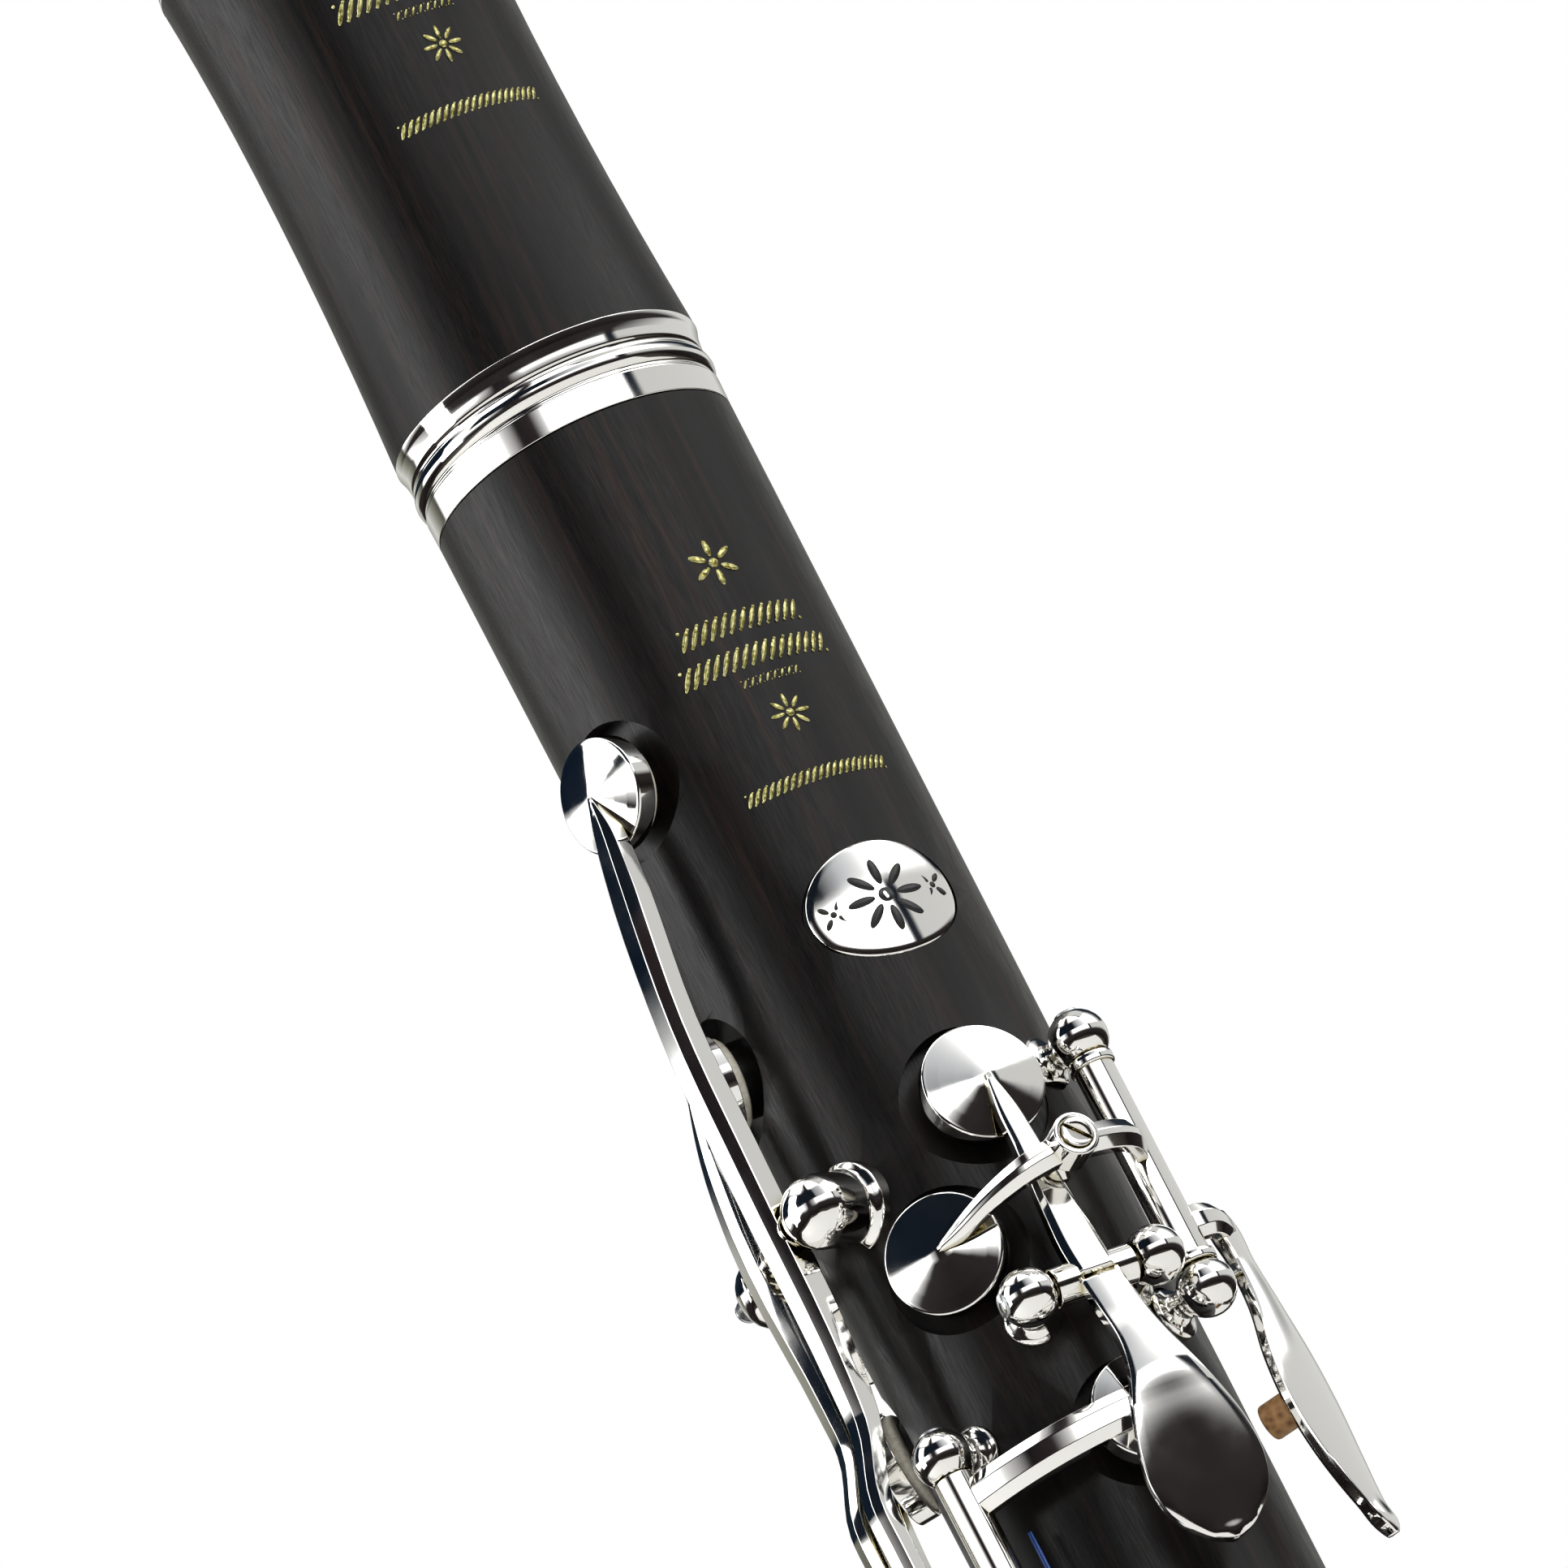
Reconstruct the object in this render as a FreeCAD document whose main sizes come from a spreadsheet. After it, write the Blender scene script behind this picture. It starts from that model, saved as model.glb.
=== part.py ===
"""A Boehm-system B-flat clarinet: mouthpiece, barrel, two joints, bell and its key work.

The bore runs along Z with the bell's rim on Z = 0. The front, where the finger holes are, faces -Y,
and +X is on the right of someone who looks at the front. An angle is measured round the bore from the
front, positive towards +X. Lengths are millimetres and angles are degrees.
"""

import FreeCAD, Part
import math
import os
import Sketcher
from FreeCAD import Placement, Rotation, Vector

doc = FreeCAD.newDocument("clarinet")

# ---------------------------------------------------------------- driving dimensions

DIMENSIONS = {
    # heights of the seams between the sections, from the bell's rim up
    "bell_top": 105.0, "lower_top": 338.0, "upper_top": 533.0, "barrel_top": 599.0, "mouth_top": 672.0,
    # wood
    "bore_radius": 7.4, "upper_top_radius": 14.5, "upper_end_radius": 13.7, "lower_top_radius": 14.3,
    "lower_end_radius": 15.4, "socket_wood": 15.6, "tenon_radius": 10.9, "bell_tenon_radius": 12.4,
    "tenon_length": 17.0, "bell_tenon_length": 21.0, "tenon_slack": 0.1, "cork_slack": 0.05,
    "cork_depth": 0.9, "cork_margin": 2.5, "lower_bore_end": 10.0, "taper_start": 200.0, "seam": 0.15,
    "barrel_waist": 13.95, "ring_seat": 13.3, "ring_height": 8.25, "ring_low": 14.5, "ring_high": 14.95,
    "socket_ring": 16.6, "socket_ring_height": 10.0,
    "bell_lip": 29.5, "rim_height": 7.0, "rim_radius": 39.5,
    "chimney_radius": 5.2, "chimney_rise": 3.2,
    # hinges and posts
    "tube_radius": 1.85, "rod_radius": 0.95, "rod_slack": 0.05, "ball_radius": 2.75, "ball_flat": 2.1,
    "neck_radius": 1.55, "shank_depth": 3.0, "foot_radius": 2.7, "foot_height": 1.0, "end_play": 0.06,
    # pads, cups, rings and touches
    "seat_depth": 0.35, "pad_proud": 1.0, "cup_wall": 1.9, "cup_skin": 0.45, "pad_slack": 0.05,
    "cup_crown": 1.5, "cup_bevel": 0.35, "recess_depth": 1.6, "recess_margin": 1.2, "rim_width": 1.0,
    "ring_gap": 0.8, "ring_width": 1.25, "ring_thick": 1.6, "arm_thick": 1.7, "arm_width": 3.2,
    "touch_thick": 1.6, "screw_radius": 1.45, "needle_radius": 0.3,
}
sheet = doc.addObject("Spreadsheet::Sheet", "dims")
for row, (alias, size) in enumerate(DIMENSIONS.items(), start=1):
    sheet.set(f"A{row}", alias)
    sheet.set(f"B{row}", str(size))
    sheet.setAlias(f"B{row}", alias)
doc.recompute()


class Sizes:
    """Reads a cell of the sheet by its alias, as in d.bore_radius."""

    def __getattr__(self, alias):
        return float(getattr(sheet, alias))


d = Sizes()
UP = Vector(0, 0, 1)
parts = {}
joints = {}


def radial(angle):
    """Unit vector that points straight out of the bore at an angle."""
    a = math.radians(angle)
    return Vector(math.sin(a), -math.cos(a), 0)


def around(angle):
    """Unit vector along the surface at an angle, towards larger angles."""
    a = math.radians(angle)
    return Vector(math.cos(a), math.sin(a), 0)


def spot(angle, out, z, along=0.0):
    """A point at a distance out of the bore's axis at an angle, and along the surface from there."""
    return radial(angle) * out + around(angle) * along + UP * z


def wood_radius(z):
    """Radius of the turned wood under the key work."""
    if z >= d.lower_top:
        share = (d.upper_top - z) / (d.upper_top - d.lower_top)
        return d.upper_top_radius + (d.upper_end_radius - d.upper_top_radius) * share
    share = (d.lower_top - z) / (d.lower_top - d.bell_top)
    return d.lower_top_radius + (d.lower_end_radius - d.lower_top_radius) * share


# ---------------------------------------------------------------- document helpers

def keep(label, piece):
    """Names a finished piece: its label is the file that it is written to."""
    piece.Label = label
    parts[label] = piece
    return piece


def shaped(name, shape):
    """A feature for a forged or built-up shape that no parametric feature makes."""
    feature = doc.addObject("Part::Feature", name)
    feature.Shape = shape
    return feature


def turned(name, outline):
    """A lathe-turned body. The outline is a closed list of (radius, height), as expressions on the sheet."""
    body = doc.addObject("PartDesign::Body", name)
    sketch = body.newObject("Sketcher::SketchObject", name + "_outline")
    plane = next(f for f in body.Origin.OriginFeatures if f.Role == "XZ_Plane")
    sketch.AttachmentSupport = [(plane, "")]
    sketch.MapMode = "FlatFace"
    doc.recompute()
    corners = [Vector(float(sheet.evalExpression(r)), float(sheet.evalExpression(z)), 0) for r, z in outline]
    count = len(corners)
    for i in range(count):
        sketch.addGeometry(Part.LineSegment(corners[i], corners[(i + 1) % count]), False)
    for i in range(count):
        sketch.addConstraint(Sketcher.Constraint("Coincident", i, 2, (i + 1) % count, 1))
    for i, (r, z) in enumerate(outline):
        across = sketch.addConstraint(Sketcher.Constraint("DistanceX", -1, 1, i, 1, corners[i].x))
        sketch.setExpression(f"Constraints[{across}]", r)
        height = sketch.addConstraint(Sketcher.Constraint("DistanceY", -1, 1, i, 1, corners[i].y))
        sketch.setExpression(f"Constraints[{height}]", z)
    spin = body.newObject("PartDesign::Revolution", name + "_turning")
    spin.Profile = sketch
    spin.ReferenceAxis = (sketch, ["V_Axis"])
    spin.Angle = 360
    doc.recompute()
    return body


def spun(name, edges):
    """A turned piece with a curved outline: a closed profile in the XZ plane, revolved about Z."""
    profile = shaped(name + "_profile", Part.Face(Part.Wire(edges)))
    spin = doc.addObject("Part::Revolution", name)
    spin.Source = profile
    spin.Axis = UP
    spin.Base = Vector(0, 0, 0)
    spin.Angle = 360
    spin.Solid = True
    return spin


def line(*points):
    """Straight edges through (radius, height) points."""
    ends = [Vector(r, 0, z) for r, z in points]
    return [Part.LineSegment(a, b).toShape() for a, b in zip(ends, ends[1:])]


def curve(*points):
    """One smooth edge through (radius, height) points."""
    spline = Part.BSplineCurve()
    spline.interpolate([Vector(r, 0, z) for r, z in points])
    return [spline.toShape()]


def cylinder(name, radius, height, base, direction, cell=None):
    """A round bar on its own base and direction, its radius bound to a cell of the sheet where it has one."""
    piece = doc.addObject("Part::Cylinder", name)
    piece.Radius = radius
    piece.Height = height
    if cell:
        piece.setExpression("Radius", cell)
    piece.Placement = Placement(base, Rotation(UP, direction))
    return piece


def compound(name, pieces):
    group = doc.addObject("Part::Compound", name)
    group.Links = pieces
    return group


def cut(name, base, tool):
    piece = doc.addObject("Part::Cut", name)
    piece.Base = base
    piece.Tool = tool
    return piece


def fuse(name, pieces):
    piece = doc.addObject("Part::MultiFuse", name)
    piece.Shapes = pieces
    return piece


def sleeve(name, outer, inner, z_low, z_high):
    """A plain ring about the bore."""
    high = z_high - z_low
    return cut(name, cylinder(name + "_outside", outer, high, UP * z_low, UP),
               cylinder(name + "_inside", inner, high, UP * z_low, UP))


# ---------------------------------------------------------------- key work: shared shapes

def bar(*stations):
    """A forged bar with bevelled top edges. A station is (angle, out, z, width, thickness) and then "up" where
    the bar's width runs along the bore instead of round it, or the degrees that it's tilted to the front."""
    wires = []
    for angle, out, z, width, thick, *lie in stations:
        tilt = 0 if lie in ([], ["up"]) else lie[0]
        side = UP if lie == ["up"] else around(angle - tilt)
        centre, n = spot(angle, out, z), radial(angle - tilt)
        half, low, high, bevel = width / 2, -thick / 2, thick / 2, min(0.5, width * 0.22)
        outline = [(-half, low), (half, low), (half, high - bevel), (half - bevel, high),
                   (bevel - half, high), (-half, high - bevel)]
        corners = [centre + side * a + n * b for a, b in outline]
        wires.append(Part.makePolygon(corners + [corners[0]]))
    return Part.makeLoft(wires, True, True)


def hoop(z, start, finish, out_start, out_finish, bulge=0.0, width=None, steps=5):
    """A bar that runs round the wood at one height between two angles, bowed outwards by bulge."""
    stations = []
    for i in range(steps + 1):
        t = i / steps
        out = out_start + (out_finish - out_start) * t + bulge * 4 * t * (1 - t)
        stations.append((start + (finish - start) * t, out, z, width or d.arm_width, d.arm_thick, "up"))
    return bar(*stations)


def leaf(angle, out, z_wide, r_wide, z_thin, r_thin, thick=None):
    """A flat touch piece: a plate round a wide circle and a narrow one."""
    thick = thick or d.touch_thick
    side = around(angle)
    lean = math.asin((r_wide - r_thin) / abs(z_wide - z_thin))
    way = 1.0 if z_wide > z_thin else -1.0

    def at(z, radius, turn):
        across, along = radius * math.cos(turn), radius * math.sin(turn) * way
        return spot(angle, out - thick / 2, z) + side * across + UP * along

    left, right = math.pi + lean, -lean
    edges = [
        Part.Arc(at(z_wide, r_wide, right), at(z_wide, r_wide, math.pi / 2), at(z_wide, r_wide, left)),
        Part.LineSegment(at(z_wide, r_wide, left), at(z_thin, r_thin, left)),
        Part.Arc(at(z_thin, r_thin, left), at(z_thin, r_thin, -math.pi / 2), at(z_thin, r_thin, right)),
        Part.LineSegment(at(z_thin, r_thin, right), at(z_wide, r_wide, right)),
    ]
    return Part.Face(Part.Wire([e.toShape() for e in edges])).extrude(radial(angle) * thick)


def seat_at(z):
    """How far out of the bore's axis a pad's seat is."""
    return wood_radius(z) - d.seat_depth


def cup(angle, z, radius):
    """A pad cup with a bevelled rim and a low pointed crown, before its hollow is cut."""
    n = radial(angle)
    foot = spot(angle, seat_at(z) + d.pad_proud, z)
    wall = Part.makeCylinder(radius, d.cup_wall, foot, n)
    bevel = Part.makeCone(radius, radius - d.cup_bevel, d.cup_bevel, foot + n * d.cup_wall, n)
    crown = Part.makeCone(radius - d.cup_bevel, 0.4, d.cup_crown - d.cup_bevel,
                          foot + n * (d.cup_wall + d.cup_bevel), n)
    return wall.fuse([bevel, crown])


def cup_hollow(angle, z, radius):
    """The room for the pad, open towards the wood."""
    spare = 1.5
    foot = spot(angle, seat_at(z) + d.pad_proud - spare, z)
    return Part.makeCylinder(radius - d.cup_skin, d.cup_wall - d.cup_skin + spare, foot, radial(angle))


def finger_ring(z, angle=0.0):
    """The flat ring round a finger hole's chimney, level with the chimney's top when it is down."""
    low = wood_radius(z) + d.chimney_rise - d.ring_thick
    inner = d.chimney_radius + d.ring_gap
    return Part.makeCylinder(inner + d.ring_width, d.ring_thick, spot(angle, low, z), radial(angle))


def ring_hollow(z, angle=0.0):
    """The round hole in a finger ring, cut clear of the arms on both sides."""
    low = wood_radius(z)
    return Part.makeCylinder(d.chimney_radius + d.ring_gap, 12, spot(angle, low - 2, z), radial(angle))


def tube(angle, out, z_low, z_high):
    """A hinge tube along the bore."""
    return Part.makeCylinder(d.tube_radius, z_high - z_low, spot(angle, out, z_low), UP)


def tube_hole(angle, out, z_low, z_high):
    """The hole for the rod of a hinge along the bore."""
    return Part.makeCylinder(d.rod_radius + d.rod_slack, z_high - z_low + 2, spot(angle, out, z_low - 1), UP)


def cross_tube(angle, out, z, low, high):
    """A hinge tube across the bore, between two distances along the surface."""
    return Part.makeCylinder(d.tube_radius, high - low, spot(angle, out, z, low), around(angle))


def cross_hole(angle, out, z, low, high):
    """The hole for the rod of a hinge across the bore."""
    start = spot(angle, out, z, low - 1)
    return Part.makeCylinder(d.rod_radius + d.rod_slack, high - low + 2, start, around(angle))


def key(name, metal, hollows, hinge_point, hinge_axis, travel, pad=None, opened=0.0):
    """One key: its metal, fused and hollowed, its pad and its joint. A key that stands open at rest is made
    shut and swung back by opened degrees. It turns by travel degrees from rest."""
    if pad:
        hollows = hollows + [cup_hollow(*pad)]
    body = metal[0].fuse(metal[1:]).cut(Part.makeCompound(hollows))
    swing = Placement(Vector(), Rotation(hinge_axis, -opened), hinge_point)
    piece = keep(name, shaped(name, body))
    piece.Placement = swing
    if pad:
        angle, z, radius = pad
        label = name.replace("_key", "") + "_pad"
        air = 0.02
        high = d.pad_proud + d.cup_wall - d.cup_skin - 2 * air
        disc = cylinder(label, radius - d.cup_skin - d.pad_slack, high, spot(angle, seat_at(z) + air, z),
                        radial(angle))
        disc.Placement = swing.multiply(disc.Placement)
        keep(label, disc)
    joints[name] = (hinge_point, hinge_axis, travel)


# ---------------------------------------------------------------- posts, rods, springs and holes

posts = {"upper": [], "lower": []}
tone_holes = {"upper": [], "lower": []}
chimneys = {"upper": [], "lower": []}
rods = []
needles = []


def post(where, centre, way, both_sides=False):
    """A ball post, turned in one piece: shank in the wood, collar on it, neck and ball. The ball is milled
    flat where a tube turns against it and drilled for the rod."""
    angle = math.degrees(math.atan2(centre.x, -centre.y))
    top = wood_radius(centre.z)
    reach = math.hypot(centre.x, centre.y) - top
    join = reach - math.sqrt(d.ball_radius ** 2 - d.neck_radius ** 2)
    turning = [(0, -d.shank_depth), (d.neck_radius, -d.shank_depth), (d.neck_radius, -0.4),
               (d.foot_radius, -0.4), (d.foot_radius, 0.2), (d.neck_radius + 0.3, d.foot_height),
               (d.neck_radius, d.foot_height), (d.neck_radius, join)]
    edges = line(*turning)
    crest = Vector(0, 0, reach + d.ball_radius)
    edges.append(Part.Arc(Vector(d.neck_radius, 0, join), Vector(d.ball_radius, 0, reach), crest).toShape())
    edges += [Part.LineSegment(crest, Vector(0, 0, -d.shank_depth)).toShape()]
    piece = Part.Face(Part.Wire(edges)).revolve(Vector(), UP, 360)
    piece.Placement = Placement(spot(angle, top, centre.z), Rotation(UP, radial(angle)))
    for side in ([way, way.negative()] if both_sides else [way]):
        piece = piece.cut(Part.makeCylinder(d.ball_radius + 1, 6, centre + side * d.ball_flat, side))
    posts[where].append(piece.cut(Part.makeCylinder(d.rod_radius, 14, centre - way * 7, way)))


def rod(name, first, last):
    """The rod of a hinge, from just inside the far side of one ball to just inside the other's."""
    way = (last - first).normalize()
    head = d.ball_radius - 0.6
    length = (last - first).Length + 2 * head
    rods.append(cylinder("rod_" + name, d.rod_radius, length, first - way * head, way, "dims.rod_radius"))


def long_hinge(where, name, angle, out, z_low, z_high, middle=()):
    """Posts and rod of a hinge along the bore. Returns the heights between which a tube fits."""
    first, last = spot(angle, out, z_low), spot(angle, out, z_high)
    post(where, first, UP)
    post(where, last, UP.negative())
    for z in middle:
        post(where, spot(angle, out, z), UP, both_sides=True)
    rod(name, first, last)
    stop = d.ball_flat + d.end_play
    return z_low + stop, z_high - stop


def cross_hinge(where, name, angle, out, z, half):
    """Posts and rod of a hinge across the bore. Returns the ends of the tube that fits between them."""
    first, last = spot(angle, out, z, -half), spot(angle, out, z, half)
    post(where, first, around(angle))
    post(where, last, around(angle).negative())
    rod(name, first, last)
    neck_edge = half * (out - d.tube_radius) / out - 1.1 * d.neck_radius
    stop = min(half - d.ball_flat, neck_edge) - d.end_play
    return -stop, stop


def needle(angle, out, z_low, z_high):
    """A blued needle spring: one end is in a post and the free end lies beside a hinge tube."""
    name = f"needle_{len(needles)}"
    wire = cylinder(name, d.needle_radius, z_high - z_low, spot(angle, out, z_low), UP, "dims.needle_radius")
    needles.append(wire)


def tone_hole(where, angle, z, hole, pad_radius):
    """The hole under a pad, the raised rim that the pad shuts on and the recess cut round that rim."""
    n = radial(angle)
    seat = seat_at(z)
    floor = seat - d.recess_depth
    recess = Part.makeCylinder(pad_radius + d.recess_margin, 8, spot(angle, floor, z), n)
    recess = recess.cut(Part.makeCylinder(hole + d.rim_width, d.recess_depth, spot(angle, floor, z), n))
    tone_holes[where].append(recess)
    tone_holes[where].append(Part.makeCylinder(hole, seat - 3, spot(angle, 4, z), n))


def finger_hole(where, z, hole, angle=0.0):
    """A finger hole with the wooden chimney that stands inside its ring."""
    n = radial(angle)
    root = 10.5
    rise = wood_radius(z) + d.chimney_rise
    name = f"chimney_{where}_{len(chimneys[where])}"
    chimneys[where].append(cylinder(name, d.chimney_radius, rise - root, spot(angle, root, z), n,
                                    "dims.chimney_radius"))
    tone_holes[where].append(Part.makeCylinder(hole, 20, spot(angle, 4, z), n))
    tone_holes[where].append(Part.makeCone(hole, hole + 1.0, 1.0, spot(angle, rise - 0.9, z), n))


# ---------------------------------------------------------------- keys of the upper joint

def register_key():
    """Speaker key on the back: thumb touch, hinge across the bore, small cup over the vent."""
    angle, out, z = 180, 18.2, 452
    low, high = cross_hinge("upper", "register", angle, out, z, 6.4)
    pad = (angle, 488, 4.6)
    tone_hole("upper", angle, 488, 1.5, 4.6)
    metal = [cross_tube(angle, out, z, low, high), cup(*pad),
             bar((angle, 17.9, 488, 2.2, 1.7), (angle, 18.6, 478, 2.8, 1.7), (angle, 18.6, 456, 3.4, 1.8),
                 (angle, 18.4, 451, 3.6, 1.8), (angle, 19.6, 441, 3.6, 1.7), (angle, 19.6, 430, 4.4, 1.6)),
             leaf(angle, 19.6, 418.5, 5.0, 430, 3.2)]
    key("register_key", metal, [cross_hole(angle, out, z, low, high)], spot(angle, out, z), around(angle),
        4.0, pad)


def throat_a_key():
    """Throat A key on the front: cup above the hinge, teardrop touch below it."""
    angle, out, z = -3.4, 18.2, 438
    low, high = cross_hinge("upper", "throat_a", angle, out, z, 6.4)
    pad = (angle, 459.5, 5.65)
    tone_hole("upper", angle, 459.5, 3.2, 5.65)
    metal = [cross_tube(angle, out, z, low, high), cup(*pad),
             bar((angle, 17.9, 459.5, 1.8, 1.6), (angle, 18.5, 453, 3.0, 1.6), (angle, 18.6, 440, 3.6, 1.8),
                 (angle, 19.4, 434.5, 3.8, 1.9), (angle, 22.1, 428, 4.6, 1.7), (angle, 22.3, 425.5, 6.0, 1.6),
                 (angle, 22.1, 422, 8.8, 1.6), (angle, 21.5, 418, 10.8, 1.6), (angle, 20.9, 414.5, 10.4, 1.6),
                 (angle, 20.4, 411.8, 7.4, 1.6), (angle, 20.1, 409.6, 2.4, 1.6)),
             bar((angle, 18.6, 449, 3.2, 1.5, "up"), (4, 18.6, 449, 3.2, 1.5, "up"))]
    key("throat_a_key", metal, [cross_hole(angle, out, z, low, high)], spot(angle, out, z), around(angle),
        6.0, pad)


def throat_g_sharp_key():
    """Throat G sharp key: a hinge along the bore on the right, an arm over the A key and a leaf touch."""
    angle, out = 33.6, 18.3
    low, high = long_hinge("upper", "throat_g_sharp", angle, out, 434.9, 461.2)
    pad = (-38.9, 446.4, 5.6)
    tone_hole("upper", -38.9, 446.4, 3.0, 5.6)
    boss_angle, boss_z, boss_out = 2.2, 449, 20.7
    boss = Part.makeCylinder(2.15, 3.7, spot(boss_angle, boss_out, boss_z), radial(boss_angle))
    bore = Part.makeCylinder(d.screw_radius, 8, spot(boss_angle, boss_out - 2, boss_z), radial(boss_angle))
    metal = [tube(angle, out, low, high), cup(*pad), boss,
             bar((33.6, 18.4, 449.2, 3.4, 2.2, "up"), (22, 21.3, 449.2, 3.0, 1.7, "up"),
                 (8, 22.0, 449.1, 2.8, 1.7, "up"), (-6, 21.9, 448.6, 2.6, 1.7, "up"),
                 (-20, 20.4, 447.8, 2.4, 1.6, "up"), (-38.9, 17.9, 446.4, 1.6, 1.6, "up")),
             bar((33.6, 18.4, 441, 3.4, 2.2, "up"), (41, 20.4, 441, 3.2, 1.6, "up"),
                 (50, 20.4, 440.6, 3.0, 1.6, "up")),
             bar((50, 20.2, 441.5, 2.6, 1.6, 16), (50, 20.3, 437, 3.0, 1.6, 16), (49.5, 20.5, 432.5, 4.0, 1.6, 16),
                 (46.8, 20.6, 427, 7.4, 1.6, 16), (46.2, 20.6, 422, 8.2, 1.6, 16), (46, 20.7, 416, 6.0, 1.6, 16),
                 (47, 21.0, 411, 3.2, 1.5, 16), (48.5, 21.3, 407.6, 1.2, 1.4, 16))]
    screw = cylinder("adjusting_screw", d.screw_radius, 4.0, spot(boss_angle, boss_out + 0.1, boss_z),
                     radial(boss_angle), "dims.screw_radius")
    keep("adjusting_screw", screw)
    key("throat_g_sharp_key", metal, [tube_hole(angle, out, low, high), bore], spot(angle, out, 449), UP,
        5.5, pad)


def trill_keys():
    """The two upper side trill keys: long bevelled bars that share one hinge across the bore."""
    angle, out, z = -89, 18.5, 456
    low, high = cross_hinge("upper", "trills", angle, out, z, 7.85)
    gap = 0.15
    bars = {
        "trill_key_1": (gap, high, (-72, 501.2, 5.3), [
            (-72, 17.9, 501.2, 1.6, 1.7), (-73, 18.6, 494, 2.8, 1.8), (-77.6, 19.5, 478, 3.2, 1.9),
            (-79.5, 19.4, 462, 3.2, 1.9), (-81.5, 19.4, 441, 3.2, 1.9), (-82.0, 19.7, 437, 3.2, 2.0),
            (-82.2, 23.2, 429, 3.2, 2.0), (-82.2, 23.4, 424, 3.3, 1.8), (-82.2, 23.4, 402, 3.3, 1.7)], -82.2),
        "trill_key_2": (low, -gap, (-98.5, 474, 5.0), [
            (-98.5, 17.9, 474, 1.6, 1.7), (-98.5, 18.6, 468, 2.8, 1.8), (-98.5, 19.4, 460, 3.2, 1.9),
            (-94, 19.4, 441, 3.2, 1.9), (-93, 19.7, 437, 3.2, 2.0), (-91.7, 23.2, 429, 3.2, 2.0),
            (-91.7, 23.4, 424, 3.3, 1.8), (-91.7, 23.4, 402, 3.3, 1.7)], -91.7),
    }
    for name, (start, finish, pad, stations, touch_angle) in bars.items():
        tone_hole("upper", pad[0], pad[1], 2.6, pad[2])
        metal = [cross_tube(angle, out, z, start, finish), cup(*pad), bar(*stations),
                 leaf(touch_angle, 23.4, 386, 1.8, 402, 1.6, 1.7)]
        key(name, metal, [cross_hole(angle, out, z, start, finish)], spot(angle, out, z), around(angle),
            2.4, pad)


def side_key_3():
    """The third side key, for E flat and B flat: its long bar runs round the left towards the back."""
    angle, out, z = -124, 17.9, 418
    low, high = cross_hinge("upper", "side_3", angle, out, z, 5.0)
    pad = (-128, 437, 5.25)
    tone_hole("upper", -128, 437, 2.8, 5.25)
    metal = [cross_tube(angle, out, z, low, high), cup(*pad),
             bar((-128, 17.7, 437, 1.6, 1.6), (-127, 18.3, 431, 2.8, 1.7), (-124, 18.4, 420, 3.2, 1.8),
                 (-124.5, 18.8, 410, 3.2, 1.8), (-125, 20.8, 394, 3.2, 1.7), (-125, 21.5, 369.5, 3.2, 1.7),
                 (-119, 21.7, 361, 3.6, 1.7)),
             leaf(-117.5, 21.8, 350.5, 3.2, 361, 2.4, 1.7)]
    key("side_key_3", metal, [cross_hole(angle, out, z, low, high)], spot(angle, out, z), around(angle),
        3.6, pad)


def side_key_4():
    """The fourth and lowest side key, for B flat and F sharp."""
    angle, out, z = -96, 17.7, 375
    low, high = cross_hinge("upper", "side_4", angle, out, z, 4.5)
    pad = (-96, 392, 4.75)
    tone_hole("upper", -96, 392, 2.6, 4.75)
    metal = [cross_tube(angle, out, z, low, high), cup(*pad),
             bar((-96, 17.3, 392, 1.6, 1.5), (-96, 17.9, 386, 2.6, 1.6), (-96, 18.0, 376, 2.8, 1.7),
                 (-95, 20.6, 368, 3.2, 1.7), (-94, 21.5, 362, 3.6, 1.7)),
             leaf(-94, 21.6, 351.5, 3.3, 362, 2.4, 1.7)]
    key("side_key_4", metal, [cross_hole(angle, out, z, low, high)], spot(angle, out, z), around(angle),
        4.4, pad)


def ring_arm(z, rod_angle, rod_out, shift=0.0):
    """The arm from a stack's hinge tube to the near edge of the ring at one height."""
    out = wood_radius(z) + d.chimney_rise - d.ring_thick / 2
    edge = d.chimney_radius + d.ring_gap + 0.6
    side = 1 if rod_angle > 0 else -1
    angle = side * math.degrees(math.atan2(edge, out))
    return hoop(z + shift, rod_angle, angle, rod_out, math.hypot(edge, out), 0.5, 3.0)


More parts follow.
